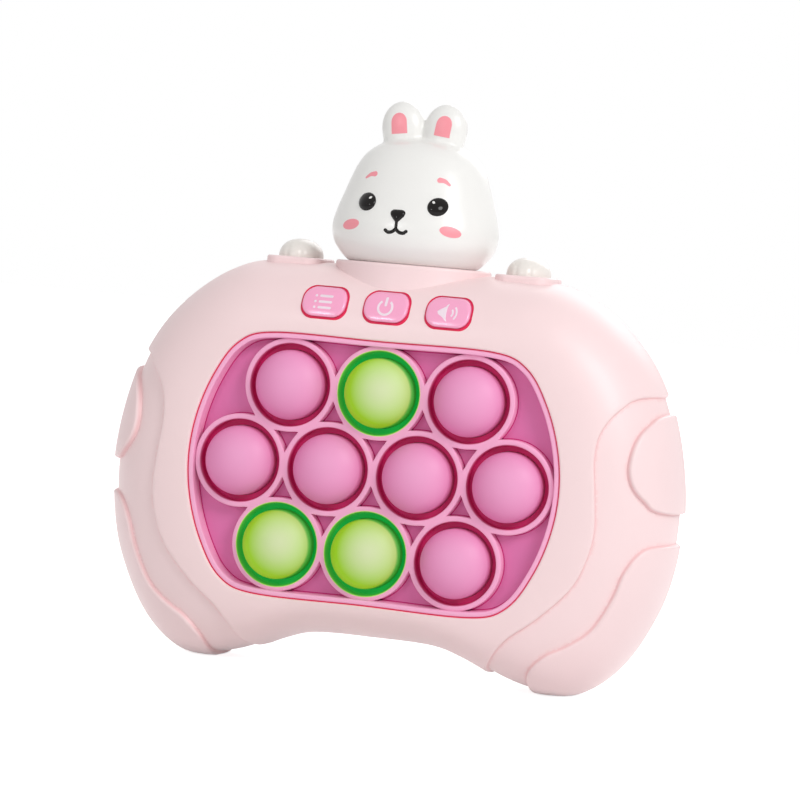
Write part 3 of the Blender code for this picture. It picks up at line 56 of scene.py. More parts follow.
import bmesh
import bpy
import numpy as np
from bpy.props import FloatProperty, FloatVectorProperty, IntProperty, PointerProperty
from mathutils import Matrix, Vector
from mathutils.bvhtree import BVHTree
from mathutils.geometry import delaunay_2d_cdt

# Places read from the frame
FRONT_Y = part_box("front_shell")[0].y
BACK_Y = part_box("rear_shell")[1].y
PARTING_Y = (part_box("front_shell")[1].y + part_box("rear_shell")[0].y) / 2
GRID_Z = sum(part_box("bubble_05"), Vector()).z / 2
BUBBLES = [sum(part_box(f"bubble_{i:02d}"), Vector()) / 2 for i in range(1, 11)]
RING_Y = FRONT_Y + 0.0015
LIT_BUBBLES = (2, 8, 9)

# Body outline, window and raised areas, as shares of half a width and half a height
BODY = np.array((0.0760, 0.0530))
WINDOW = np.array((0.0499016, 0.0342009))
PANEL_RISE, PAD_RISE, GRIP_RISE = 0.0011, 0.0015, 0.0012
FRONT_DEPTH = PARTING_Y - FRONT_Y - PANEL_RISE
REAR_DEPTH = BACK_Y - PARTING_Y - PANEL_RISE
SIDE_POWER, TOP_POWER = 2.3, 2.5
REAR_FLAT_SHARE = 0.92
WINDOW_LAND = 0.0010
COLLAR_DEPTH, COLLAR_WALL = 0.0042, 0.0015
OUTLINE_SOFTNESS = 0.0012
SLOPE_MIDDLE = 0.35
SLOPE_STEPS = (0, 0.12, 0.28, 0.48, 0.72, 1)
SLOPE_EASE, SLOPE_POINT_STEP, SLOPE_CLEARANCE = 2.2, 0.0005, 0.0003
# Painted shade at the foot of each slope: where it is deepest and how wide it spreads, as shares of the slope
CREASE_SHADE_MIDDLE, CREASE_SHADE_WIDTH = 0.15, 0.2
OUTLINE_POINTS, DIRECTIONS, CROWN_SPOKES = 6000, 1440, 520
CROWN_ROWS = {-1: 56, 1: 40}
LINING_END = 0.03
OUTLINE_SHARES = (
    (0, 0.974), (0.447, 0.981), (0.624, 0.923), (0.793, 0.740), (0.901, 0.523), (0.968, 0.245),
    (1, -0.075), (0.982, -0.377), (0.932, -0.604), (0.842, -0.830), (0.726, -0.972), (0.612, -1),
    (0.495, -0.966), (0.361, -0.879), (0.224, -0.821), (0, -0.813),
)
WINDOW_SHARES = (
    (0, 1), (0.58, 1), (0.776, 0.9), (0.898, 0.637), (0.974, 0.322),
    (1, 0), (0.974, -0.322), (0.898, -0.637), (0.776, -0.9), (0.58, -1), (0, -1),
)
PANEL_EDGE_SHARES = (
    (1.10, 0.47), (0.89, 0.483), (0.82, 0.417), (0.770, 0.304), (0.759, 0.174), (0.769, 0.032),
    (0.779, -0.158), (0.762, -0.304), (0.715, -0.455), (0.612, -0.613), (0.513, -0.728),
    (0.455, -0.835), (0.426, -0.93), (0.418, -1.12),
)
PAD_EDGE_SHARES = (
    (1.10, 0.43), (0.95, 0.408), (0.904, 0.347), (0.876, 0.264), (0.866, 0.147), (0.882, 0.059),
    (0.918, -0.008), (0.962, -0.060), (1.10, -0.092),
)
GRIP_EDGE_SHARES = (
    (1.10, -0.215), (1.0, -0.224), (0.931, -0.245), (0.88, -0.351), (0.845, -0.492), (0.786, -0.647),
    (0.712, -0.734), (0.642, -0.792), (0.586, -0.877), (0.574, -0.972), (0.585, -1.10),
)

# Top edge
NECK_HALF = np.array((0.0207, 0.0185))
NECK_Y = 0.0045
NECK_TOP, NECK_FOOT = GRID_Z + 0.0543, GRID_Z + 0.0452
NECK_SOFT, NECK_FLARE, NECK_REAR_REACH = 0.0007, 17, 0.75
HEAD_BOTTOM = NECK_TOP + 0.0001
PAW_COLLAR_HALF = np.array((0.0076, 0.0092))
PAW_COLLAR_TOP, PAW_COLLAR_FOOT = GRID_Z + 0.0540, GRID_Z + 0.0462
PAW_COLLAR_SOFT, PAW_COLLAR_FLARE = 0.0006, 12
PAW_X, PAW_Y = 0.0312, 0.0045
PAW_HALF = np.array((0.0058, 0.0072))
PAW_RISE, PAW_LIFT, PAW_SINK = 0.0046, 0.0003, 0.0012
TOE_GROOVES, TOE_GROOVE_WIDTH, TOE_GROOVE_DEPTH = (-0.0019, 0.0019), 0.0005, 0.05

# Buttons
BUTTON_KEYS = ("menu", "power", "volume")
BUTTON_SPACING = 0.0166
BUTTON_Z = GRID_Z + 0.0430
BUTTON_HALF = np.array((0.0058, 0.00385))
BUTTON_CORNER = 0.0033
BUTTON_FOOT_Y = FRONT_Y + 0.0098
BUTTON_PILLOW = 0.00018
BUTTON_GAP = 0.0005
HOLE_SHIFT = np.array((0.0001, -0.00018))

# Bubbles and their rings
RING_RADIUS, GROOVE_RADIUS, BUBBLE_RADIUS = 0.0122, 0.0108, 0.00905
SHEET_FLOOR_Y = FRONT_Y + 0.0045
SHEET_LIP_Y = FRONT_Y + 0.0005
SHEET_THICKNESS = 0.0016
DOME_SKIRT_Y = RING_Y + 0.0042
WEB_GROW, WEB_HALF_ANGLE = 0.0007, radians(13)

# Painted shade lines that fill a gap or edge a foot, as (how far out, how deep)
WINDOW_GAP_SHADE = ((-0.00029, 0.0007), (0.0004, 0.0007), (0.0004, 0.0012), (-0.00029, 0.0012))
BUTTON_GAP_SHADE = ((0.00006, 0.0003), (0.0006, 0.0003), (0.0006, 0.0012), (0.00006, 0.0012))
FOOT_SHADE = ((-0.0002, -0.00004), (0.00028, -0.00004), (0.00028, 0.0002), (-0.0002, 0.0002))

# Back
DOOR_HALF = np.array((0.0279, 0.0195))
DOOR_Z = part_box("battery_door")[0].z + DOOR_HALF[1]
DOOR_THICKNESS = 0.0024
DOOR_CORNER = 0.0025
DOOR_GAP = 0.0003
DOOR_EAR_RADIUS = 0.0052
DOOR_EAR_Z = DOOR_Z + DOOR_HALF[1]
DOOR_SCREW = sum(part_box("battery_door_screw"), Vector()) / 2
BAY_HALF = np.array((0.0256, 0.0172))
BAY_FLOOR_Y = 0.0098
WELL_RADIUS, WELL_WALL, WELL_FLOOR = 0.0026, 0.0009, 0.0012
SHANK_HOLE_RADIUS, PILOT_RADIUS = 0.0016, 0.00155
SCREW_SEAT_Y = PARTING_Y + 0.0050
SCREW_HEAD_RADIUS, SCREW_HEAD_HEIGHT, SCREW_SHANK_RADIUS = 0.0023, 0.0014, 0.00125
SCREW_CROSS = ((0.00138, 0.0003), (0.0003, 0.00138))
CASE_SCREWS = [sum(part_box(f"case_screw_{i}"), Vector()) / 2 for i in range(1, 7)]
SPEAKER_Z = sum(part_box("speaker_basket"), Vector()).z / 2
SPEAKER_RADIUS = 0.0080
SLOT_COUNT, SLOT_PITCH, SLOT_HALF_WIDTH = 5, 0.0024, 0.0007
THUMB_GROOVES, THUMB_PITCH, THUMB_LOW, THUMB_DEPTH = 4, 0.0016, -0.0150, 0.0004
THUMB_HALF, THUMB_TAPER, THUMB_CORNER = (0.0075, 0.00035), 0.0006, 0.00034

# Rabbit head
HEAD_Y = 0.0030
HEAD_HALF = np.array((0.0220, 0.0182))
HEAD_HEIGHT = 0.0333
HEAD_LEAN, HEAD_LEAN_FROM, HEAD_LEAN_SPAN = 0.0018, 0.0054, 0.024
HEAD_SQUARENESS = 0.92
HEAD_LEVELS_SHARES = (
    (0, 0.78), (0.06, 0.876), (0.15, 0.969), (0.27, 1), (0.40, 0.962), (0.54, 0.894),
    (0.68, 0.823), (0.79, 0.750), (0.88, 0.640), (0.95, 0.470), (0.99, 0.230),
)
EAR_PLACE = np.array((0.0057, HEAD_Y + 0.0006, GRID_Z + 0.0902))
EAR_SIZE = np.array((0.0059, 0.0040, 0.0070))
EAR_TILT = radians(8)
EAR_PATCH_HALF, EAR_PATCH_TOP, EAR_PATCH_FOOT = 0.0021, 0.0030, -0.0022
EAR_PATCH_PLACE, EAR_PATCH_TILT = (0.0060, EAR_PLACE[2] + 0.0004), 0.9 * EAR_TILT

# Face, as places over the grid's middle, for the right side where there are two
EYE_HALF, EYE_PLACE = (0.00255, 0.0024), (0.0095, 0.0698)
# Painted highlight: a small white glint on each eye
GLINT_HALF, GLINT_PLACE, GLINT_TURN = (0.00042, 0.0003), (0.0085, 0.0709), radians(35)
CHEEK_HALF, CHEEK_PLACE, CHEEK_TURN = (0.0026, 0.00135), (0.0134, 0.0636), radians(12)
BROW_POINTS, BROW_WIDTH, BROW_TAPER = ((0.0088, 0.0770), (0.0100, 0.0768), (0.0113, 0.0759)), 0.0014, 0.6
BROW_SKEW = 0.0002
LIP_POINTS, LIP_WIDTH = ((0, 0.0633), (0.0009, 0.0625), (0.0020, 0.0623), (0.0028, 0.0628)), 0.0009
STEM_POINTS, STEM_WIDTH = ((0, 0.0658), (0, 0.0633)), 0.0008
NOSE_POINTS = (
    (-0.0021, 0.0011), (-0.0013, 0.0017), (0.0013, 0.0017), (0.0021, 0.0011), (0.0018, 0.0), (0.0, -0.0019),
    (-0.0018, 0.0),
)
NOSE_Z, NOSE_SOFTNESS = 0.0666, 0.0003
FACE_X = -0.0003
PAINT = 0.00003

# Camera, lights (each with a name, place, width and power), surroundings and floor
CAMERA_LENS, CAMERA_SENSOR, CAMERA_CLIP = 148.5, 36, (0.05, 20)
CAMERA_PLACE = (0.233087, -0.833918, 0.106454)
CAMERA_RIGHT = Vector((0.95885, 0.27083, 0.08523))
CAMERA_UP = Vector((-0.09267, 0.01477, 0.99560))
CAMERA_BACK = Vector((0.26837, -0.96252, 0.03926))
LIGHTS_AIM = Vector((0, 0, 0.07))
LIGHTS = (
    ("key", (0.80, -0.60, 0.70), 0.5, 6.0),
    ("fill", (-0.38, -1.15, 0.50), 0.18, 1.4),
    ("back", (0.1, 0.9, 0.7), 0.8, 3.0),
)
WHITE = (1, 1, 1, 1)
AMBIENT = 0.55
FLOOR_LIFT, FLOOR_HALF, FLOOR_Z = 0.8, 6, -0.0002

CONSOLE = "console"
SIDES = ((-1, "left"), (1, "right"))
HALVES = (("front", True), ("rear", False))


def linear(red, green, blue):
    """A colour written in display values from 0 to 255, as Blender keeps it."""
    shares = np.array((red, green, blue)) / 255
    curved = ((shares + 0.055) / 1.055) ** 2.4
    return tuple(float(v) for v in np.where(shares > 0.04045, curved, shares / 12.92))


def length(name, description, default):
    """A length that a user may change."""
    return FloatProperty(
        name=name, description=description, default=default, min=0, unit="LENGTH", subtype="DISTANCE"
    )


def colour(name, description, *shown):
    """A colour that a user may change, written in display values."""
    return FloatVectorProperty(
        name=name, description=description, default=linear(*shown), size=3, min=0, max=1, subtype="COLOR"
    )


class GameSizes(bpy.types.PropertyGroup):
    """Sizes of the visible pieces that a user may want to change."""

    shell_wall: length("Shell wall", "Thickness of both shells", 0.0020)
    seam: length("Seam", "Gap between the front and the rear shell", 0.00016)
    relief_slope: length("Relief slope", "Width of the slope round each raised area", 0.0008)
    window_round: length("Window rounding", "Rounding of the window's edge", 0.0005)
    ring_round: length("Ring rounding", "Rounding of the rings' top edges", 0.00035)
    bubble_rise: length("Bubble rise", "How far a dome stands over its ring", 0.0060)
    bubble_wall: length("Bubble wall", "Thickness of a dome", 0.0012)
    lip_width: length("Lip width", "Width of the silicone lip along the window", 0.0013)
    button_proud: length("Button height", "How far a button stands over the shell", 0.0009)
    button_round: length("Button rounding", "Rounding of a button's top edge", 0.0007)
    eye_bulge: length("Eye bulge", "How far an eye stands over the head", 0.0010)
    around: IntProperty(
        name="Points round a shell", description="Mesh points round each shell", default=960, min=120
    )


class GameColours(bpy.types.PropertyGroup):
    """Colours of the finishes."""

    case: colour("Case", "Pale pink plastic of the case", 243, 217, 218)
    # Painted shade: deeper pink laid along the foot of each raised area's slope
    crease_shade: colour("Crease shading", "Deeper pink along the raised areas' edges", 236, 172, 174)
    silicone: colour("Silicone", "Pink silicone of the sheet's floor", 216, 116, 171)
    # Partly the domes' own paler middle and partly painted light: the pale middle is set up and to the right
    # as a painted highlight, and deeper pink gathers towards the lower left as painted shade
    dome_middle_and_highlight: colour("Dome silicone", "Pink silicone of the domes, in the middle", 235, 158, 200)
    dome_edge_and_shade: colour("Dome edge", "Pink silicone of the domes, towards the rim", 228, 126, 180)
    ring: colour("Rings", "Pale pink silicone of the rings and the lip", 245, 174, 209)
    groove: colour("Groove", "Deep pink inside the grooves", 222, 44, 122)
    # Partly painted highlight: the pale middle of the glow is set up and to the right
    lit_centre_and_highlight: colour("Lit centre", "Glow in the middle of a lit dome", 202, 215, 166)
    lit_edge: colour("Lit edge", "Glow near the rim of a lit dome", 156, 210, 22)
    lit_groove: colour("Lit groove", "Green light in a lit bubble's groove", 2, 166, 62)
    lit_line: colour("Lit line", "Light on the edge of a lit groove", 186, 216, 84)
    button: colour("Buttons", "Pink plastic of the three buttons", 246, 165, 201)
    print_light: colour("Icons", "Pale print on the buttons", 240, 222, 232)
    # Painted shade: deep pink lines round the feet of the rings and the lip
    foot: colour("Foot lines", "Deep pink where the rings and the lip stand on the sheet", 196, 50, 122)
    # Painted shade in the narrow gaps, also glowing faintly as painted red light bounced inside them
    seam: colour("Gap shading", "Deep red that shows in the narrow gaps", 212, 16, 74)
    white: colour("White", "White plastic of the head", 237, 236, 233)
    cream: colour("Cream", "Creamy white plastic of the paws", 234, 228, 222)
    blush: colour("Blush", "Pink paint on cheeks, brows and ears", 244, 150, 161)
    dark: colour("Dark", "Gloss black of eyes, nose and mouth", 16, 11, 10)


# Outlines


def catmull(points, per_span, mirrored=False):
    """A smooth line through the points; a mirrored one meets its own reflection square at both ends."""
    points = np.array(points, float)
    if mirrored:
        before, after = points[1] * (-1, 1), points[-2] * (-1, 1)
    else:
        before, after = 2 * points[0] - points[1], 2 * points[-1] - points[-2]
    knots = np.vstack([before, points, after])
    t = (np.arange(per_span) / per_span)[:, None]
    line = []
    for a, b, c, d in zip(knots, knots[1:], knots[2:], knots[3:]):
        bend = (2 * a - 5 * b + 4 * c - d) * t**2 + (3 * b - a - 3 * c + d) * t**3
        line.append((2 * b + (c - a) * t + bend) / 2)
    return np.vstack([*line, points[-1:]])


def joined(*columns):
    """Points from their coordinates, each of which is one value for all or one for every point."""
    return np.stack(np.broadcast_arrays(*columns), axis=-1)


def along(line):
    """How far each point of a line lies from its start, along the line."""
    return np.concatenate([[0], np.cumsum(np.linalg.norm(np.diff(line, axis=0), axis=1))])


def evenly(line, count, closed=True):
    """The same line with points at equal steps."""
    if closed:
        line = np.vstack([line, line[:1]])
    travelled = along(line)
    stations = np.linspace(0, travelled[-1], count + closed)[: count + (not closed)]
    return np.stack([np.interp(stations, travelled, line[:, axis]) for axis in range(line.shape[1])], axis=1)


def softened(line, reach):
    """A closed, evenly spaced line with its curvature evened out over a reach."""
    step = np.linalg.norm(line[1] - line[0])
    turns = np.fft.fftfreq(len(line), step) * 2 * pi
    keep = np.exp(-((turns * reach) ** 2) / 2)[:, None]
    return np.fft.ifft(np.fft.fft(line, axis=0) * keep, axis=0).real


def grown(line, grow):
    """A clockwise closed line moved out."""
    ahead = np.roll(line, -1, axis=0) - np.roll(line, 1, axis=0)
    ahead /= np.linalg.norm(ahead, axis=1)[:, None]
    return line + grow * joined(-ahead[:, 1], ahead[:, 0])


def closed_outline(shares, half, count, grow=0.0):
    """A mirrored outline from the shares of its right half."""
    right = catmull(np.array(shares) * half, 40, mirrored=True)
    whole = evenly(np.vstack([right, right[-2:0:-1] * (-1, 1)]), count)
    return grown(softened(whole, OUTLINE_SOFTNESS), grow)


def at_depth(line, y):
    """An outline over the grid's middle, as points in space at a Y."""
    return joined(line[:, 0], y, line[:, 1] + GRID_Z)


def rounded_box(half, corner, steps=8):
    """A rectangle with round corners, clockwise about the origin."""
    points = []
    for quarter, (sx, sz) in enumerate(((1, 1), (-1, 1), (-1, -1), (1, -1))):
        for step in range(steps + 1):
            turn = pi / 2 * (quarter + step / steps)
            centre = sx * (half[0] - corner), sz * (half[1] - corner)
            points.append((centre[0] + corner * cos(turn), centre[1] + corner * sin(turn)))
    return np.array(points)[::-1]


def ellipse(half, count, turn=0.0):
    """A clockwise ellipse about the origin, turned by an angle."""
    turns = np.arange(count) * 2 * pi / count
    x, z = half[0] * np.cos(turns), -half[1] * np.sin(turns)
    return joined(x * cos(turn) - z * sin(turn), x * sin(turn) + z * cos(turn))


def circle(radius, count):
    """A clockwise circle about the origin."""
    return ellipse((radius, radius), count)


def radius_at(line, angles):
    """How far out a line round the origin lies in each direction."""
    found = np.arctan2(line[:, 1], line[:, 0])
    order = np.argsort(found)
    return np.interp(angles, found[order], np.linalg.norm(line[order], axis=1), period=2 * pi)


def distance(points, line, closed=False):
    """How far each point lies from a line."""
    ends = np.roll(line, -1, axis=0) if closed else line[1:]
    best = np.full(len(points), np.inf)
    for a, b in zip(line if closed else line[:-1], ends):
        step = b - a
        share = np.clip(((points - a) @ step) / max(step @ step, 1e-18), 0, 1)
        best = np.minimum(best, np.linalg.norm(points - a - share[:, None] * step, axis=1))
    return best


def inside(points, line):
    """Which points lie in a closed line."""
    found = np.zeros(len(points), bool)
    for a, b in zip(line, np.roll(line, -1, axis=0)):
        crosses = (a[1] > points[:, 1]) != (b[1] > points[:, 1])
        with np.errstate(divide="ignore", invalid="ignore"):
            at = a[0] + (points[:, 1] - a[1]) * (b[0] - a[0]) / (b[1] - a[1])
        found ^= crosses & (points[:, 0] < at)
    return found


def covered(points, outlines):
    """Which points lie in an odd number of the closed lines."""
    return np.logical_xor.reduce([inside(points, outline) for outline in outlines])


def nearest(points, outlines):
    """How far each point lies from the nearest closed line."""
    return np.min([distance(points, outline, closed=True) for outline in outlines], axis=0)


# Meshes


def placed(name, data):
    """A new object in the scene."""
    made = bpy.data.objects.new(name, data)
    bpy.context.scene.collection.objects.link(made)
    return made


def piece(name, mesh, material=None, body=CONSOLE, replaces=()):
    """Puts a mesh in the scene as a piece that rides on a body."""
    made = placed(name, mesh)
    if material:
        mesh.materials.clear()
        mesh.materials.append(material)
    if body:
        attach(made, body)
    if replaces:
        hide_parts(*replaces)
    return made


@contextmanager
def editing(mesh):
    """A mesh opened for editing, and written back at the end."""
    work = bmesh.new()
    work.from_mesh(mesh)
    yield work
    work.to_mesh(mesh)
    work.free()


def shaded(mesh, sharp=radians(40)):
    """The mesh with smooth shading up to an angle."""
    mesh.shade_smooth()
    mesh.set_sharp_from_angle(angle=sharp)
    return mesh


def finished(mesh, sharp=radians(40)):
    """The mesh with its faces pointing out and smooth shading up to an angle."""
    with editing(mesh) as work:
        work.normal_update()
        bmesh.ops.recalc_face_normals(work, faces=work.faces)
    return shaded(mesh, sharp)


def mesh_from(name, points, faces, sharp=radians(40)):
    """A finished mesh from its points and faces."""
    mesh = bpy.data.meshes.new(name)
    mesh.from_pydata(np.asarray(points, float).tolist(), [], [tuple(int(i) for i in face) for face in faces])
    return finished(mesh, sharp)


def loop_edges(first, count):
    """The edges of a closed loop of points."""
    return [(first + i, first + (i + 1) % count) for i in range(count)]


def loft(name, rings, around=False, fan_start=False, fan_end=False, sharp=radians(40)):
    """A skin over rings of equal point counts. It closes on itself, or ends in fans or flat faces."""
    rings = np.asarray(rings)
    count, width = rings.shape[:2]
    low = np.arange(count if around else count - 1)[:, None] * width + np.arange(width)
    high = np.roll(low, -1, axis=1)
    up = (low + width) % (count * width)
    up_high = (high + width) % (count * width)
    faces = joined(low, high, up_high, up).reshape(-1, 4).tolist()
    points = rings.reshape(-1, 3)
    for wanted, ring in ((fan_start, 0), (fan_end, count - 1)):
        if around:
            break
        first = ring * width
        if wanted:
            points = np.vstack([points, rings[ring].mean(axis=0)])
            hub = len(points) - 1
            faces += [(first + i, first + (i + 1) % width, hub) for i in range(width)]
        else:
            faces.append(tuple(range(first, first + width)))
    return mesh_from(name, points, faces, sharp)


def turned(name, profile, centre, steps=96, axis=1, sharp=radians(40)):
    """A closed profile of (radius, height) points turned round an axis; height counts along the axis."""
    turns = np.arange(steps) * 2 * pi / steps
    others = [i for i in range(3) if i != axis]
    rings = []
    for radius, height in profile:
        ring = np.zeros((steps, 3))
        ring[:, axis] = height
        ring[:, others[0]] = radius * np.cos(turns)
        ring[:, others[1]] = radius * np.sin(turns)
        rings.append(ring + np.array(centre))
    rings = np.array(rings)
    if min(profile[0][0], profile[-1][0]) > 0:
        return loft(name, rings, around=True, sharp=sharp)
    mesh = loft(name, rings[1:-1], fan_start=True, fan_end=True, sharp=sharp)
    for hub, (_, height) in zip(mesh.vertices[-2:], (profile[0], profile[-1])):
        hub.co = centre
        hub.co[axis] += height
    return finished(mesh, sharp)


def prism(name, outline, y_from, y_to):
    """An outline in X and Z, extruded along Y."""
    return loft(name, [[(x, y, z) for x, z in outline] for y in (y_from, y_to)])


def evaluated(name, target):
    """The mesh that an object's modifiers make; the object is removed."""
    bpy.context.view_layer.update()
    graph = bpy.context.evaluated_depsgraph_get()
    made = bpy.data.meshes.new_from_object(target.evaluated_get(graph))
    bpy.data.objects.remove(target)
    made.name = name
    return made


def boolean(name, mesh, tool_mesh, operation="DIFFERENCE"):
    """The mesh of an exact Boolean between two meshes."""
    target, tool = placed(name, mesh), placed(name + "_tool", tool_mesh)
    change = target.modifiers.new("shape", "BOOLEAN")
    change.operation, change.solver, change.object = operation, "EXACT", tool
    made = evaluated(name, target)
    bpy.data.objects.remove(tool)
    return shaded(made)


def merged(name, meshes):
    """Several meshes as one, with nothing cut."""
    work = bmesh.new()
    for mesh in meshes:
        work.from_mesh(mesh)
    made = bpy.data.meshes.new(name)
    work.to_mesh(made)
    work.free()
    return made


def half_of(name, mesh, gap, front, sharp=radians(40)):
    """The front or the rear half of a closed mesh, cut at the seam and closed again."""
    side = 1 if front else -1
    work = bmesh.new()
    work.from_mesh(mesh)
    found = bmesh.ops.bisect_plane(
        work, geom=[*work.verts, *work.edges, *work.faces], dist=1e-7,
        plane_co=(0, PARTING_Y - side * gap / 2, 0), plane_no=(0, side, 0), clear_outer=True,
    )
    rim = [item for item in found["geom_cut"] if isinstance(item, bmesh.types.BMEdge)]
    bmesh.ops.holes_fill(work, edges=rim)
    made = bpy.data.meshes.new(name)
    work.to_mesh(made)
    work.free()
    return finished(made, sharp)


def bevelled(name, mesh, width):
    """The mesh with its sharp edges rounded."""
    target = placed(name, mesh)
    change = target.modifiers.new("soft edges", "BEVEL")
    change.width, change.segments = width, 3
    change.limit_method, change.angle_limit = "ANGLE", radians(40)
    change.harden_normals = False
    return finished(evaluated(name, target))


def decal(name, outlines, surface, lift, bulge=0.0, spacing=0.0003, sink=0.0002):
    """A thin solid laid on a surface: outlines in X and Z, and surface(x, z) gives the Y below."""
    rim, edges = np.vstack(outlines), []
    for outline in outlines:
        edges += loop_edges(len(edges), len(outline))
    spans = [np.arange(low, high, spacing) for low, high in zip(rim.min(axis=0), rim.max(axis=0))]
    grid = np.stack(np.meshgrid(*spans), axis=-1).reshape(-1, 2)
    grid = grid[covered(grid, outlines) & (nearest(grid, outlines) > spacing / 2)]
    coords = [Vector(point) for point in np.vstack([rim, grid])]
    flat, _, faces, *_ = delaunay_2d_cdt(coords, edges, [], 1, 1e-9)
    flat = np.array([tuple(point) for point in flat])
    middles = np.array([flat[list(face)].mean(axis=0) for face in faces])
    faces = [face for face, wanted in zip(faces, covered(middles, outlines)) if wanted]
    inner = nearest(flat, outlines)
    share = np.clip(inner / max(inner.max(), 1e-9), 0, 1)
    rise = lift + bulge * (1 - (1 - share) ** 2) ** 0.8
    depth = np.array([surface(x, z) for x, z in flat])
    top = joined(flat[:, 0], depth - rise, flat[:, 1])
    bottom = joined(flat[:, 0], depth + sink, flat[:, 1])
    count = len(flat)
    sides = [(a, b) for face in faces for a, b in zip(face, (*face[1:], face[0]))]
    paired = set(sides)
    walls = [(a, b, b + count, a + count) for a, b in sides if (b, a) not in paired]
    under = [tuple(i + count for i in face[::-1]) for face in faces]
    return mesh_from(name, np.vstack([top, bottom]), [*faces, *under, *walls], sharp=radians(60))


def surface_of(mesh):
    """A function that gives the Y where a ray along Y first meets the mesh at a place."""
    work = bmesh.new()
    work.from_mesh(mesh)
    tree = BVHTree.FromBMesh(work)
    work.free()

    def depth(x, z):
        hit = tree.ray_cast(Vector((x, -1, z)), Vector((0, 1, 0)))[0]
        return hit.y if hit else PARTING_Y

    return depth


# Body skin


class Skin:
    """The crown of both shells by direction, and the height of the raised areas.

    A share of 0 is the window's rim, or the edge of the flat back, and a share of 1 is the parting edge.
    """

    def __init__(self, sizes):
        self.slope = sizes.relief_slope
        self.outline = closed_outline(OUTLINE_SHARES, BODY, OUTLINE_POINTS)
        self.land = closed_outline(WINDOW_SHARES, WINDOW, OUTLINE_POINTS, -WINDOW_LAND)
        self.window = closed_outline(WINDOW_SHARES, WINDOW, OUTLINE_POINTS)
        self.dense = np.arange(DIRECTIONS) * 2 * pi / DIRECTIONS
        self.areas = []
        for shares, rise, panel in (
            (PANEL_EDGE_SHARES, PANEL_RISE, True), (PAD_EDGE_SHARES, PAD_RISE, False),
            (GRIP_EDGE_SHARES, GRIP_RISE, False),
        ):
            edge = evenly(catmull(np.array(shares) * BODY, 12), 240, closed=False)
            if panel:
                closing = [(0, edge[-1, 1]), (0, 2 * BODY[1]), (edge[0, 0], 2 * BODY[1])]
            else:
                closing = [(2 * BODY[0], edge[-1, 1]), (2 * BODY[0], edge[0, 1])]
            self.areas.append((edge, np.vstack([edge, closing]), rise, panel))
        rim = radius_at(self.window, self.dense) + sizes.window_round
        flat = radius_at(self.land, self.dense) * REAR_FLAT_SHARE
        self.tables = {-1: self.table(-1, rim), 1: self.table(1, flat)}
        self.laid = {side: [self.lay(side, area[0]) for area in self.areas] for side in (-1, 1)}
        steps = np.linspace(-pi, pi, sizes.around, endpoint=False)
        self.lines, self.angles = {}, {}
        for side in (-1, 1):
            self.lines[side], crossings = self.relief_lines(side)
            apart = np.abs((steps[:, None] - crossings + pi) % (2 * pi) - pi).min(axis=1)
            kept = steps[apart > 0.4 * 2 * pi / sizes.around]
            self.angles[side] = np.sort(np.concatenate([kept, crossings]))

    def table(self, side, start):
        """The bare crown and its normals at every dense direction, and its length along each."""
        depth = FRONT_DEPTH if side < 0 else REAR_DEPTH
        inner = radius_at(self.land, self.dense) * (1 if side < 0 else REAR_FLAT_SHARE)
        edge = radius_at(self.outline, self.dense)
        power = SIDE_POWER + (TOP_POWER - SIDE_POWER) * np.maximum(np.sin(self.dense), 0)
        t = np.linspace(0, pi / 2, 500)
        rows = np.zeros((160, len(self.dense), 3))
        reach = np.zeros(len(self.dense))
        for i, angle in enumerate(self.dense):
            bend = 2 / power[i]
            radius = inner[i] + (edge[i] - inner[i]) * np.sin(t) ** bend
            y = PARTING_Y + side * depth * np.maximum(np.cos(t), 0) ** bend
            first = np.searchsorted(radius, start[i])
            line = joined(radius[first:], y[first:])
            reach[i] = along(line)[-1]
            line = evenly(line, len(rows), closed=False)
            rows[:, i] = joined(line[:, 0] * cos(angle), line[:, 1], line[:, 0] * sin(angle))
        down = np.gradient(rows, axis=0)
        sideways = np.roll(rows, -1, axis=1) - np.roll(rows, 1, axis=1)
        normals = np.cross(down, sideways)
        normals /= np.linalg.norm(normals, axis=2)[:, :, None]
        outward = joined(rows[..., 0], (rows[..., 1] - PARTING_Y), rows[..., 2])
        normals *= np.sign((normals * outward).sum(axis=2))[:, :, None]
        return rows, normals, start, reach

    def at(self, side, angles, shares):
        """Points and normals of the bare crown."""
        rows, normals, _, _ = self.tables[side]
        angles, shares = np.broadcast_arrays(angles, shares)
        column = angles % (2 * pi) / (2 * pi) * rows.shape[1]
        row = np.clip(shares, 0, 1) * (len(rows) - 1)
        left = np.floor(column).astype(int)
        low = np.minimum(np.floor(row).astype(int), len(rows) - 2)
        across, up = (column - left)[:, None], (row - low)[:, None]
        right = (left + 1) % rows.shape[1]
        left = left % rows.shape[1]
        found = []
        for table in (rows, normals):
            lower = table[low, left] * (1 - across) + table[low, right] * across
            upper = table[low + 1, left] * (1 - across) + table[low + 1, right] * across
            found.append(lower * (1 - up) + upper * up)
        return found

    def flat_map(self, side, angles, shares):
        """Skin points laid flat, with true lengths along each direction."""
        _, _, start, reach = self.tables[side]
        radius = np.interp(angles, self.dense, start, period=2 * pi)
        radius = radius + shares * np.interp(angles, self.dense, reach, period=2 * pi)
        return joined(radius * np.cos(angles), radius * np.sin(angles))

    def from_flat(self, side, flat):
        """The directions and shares of places on the flat map."""
        _, _, start, reach = self.tables[side]
        angles = np.arctan2(flat[:, 1], flat[:, 0])
        radius = np.linalg.norm(flat, axis=1)
        first = np.interp(angles, self.dense, start, period=2 * pi)
        return angles, (radius - first) / np.interp(angles, self.dense, reach, period=2 * pi)

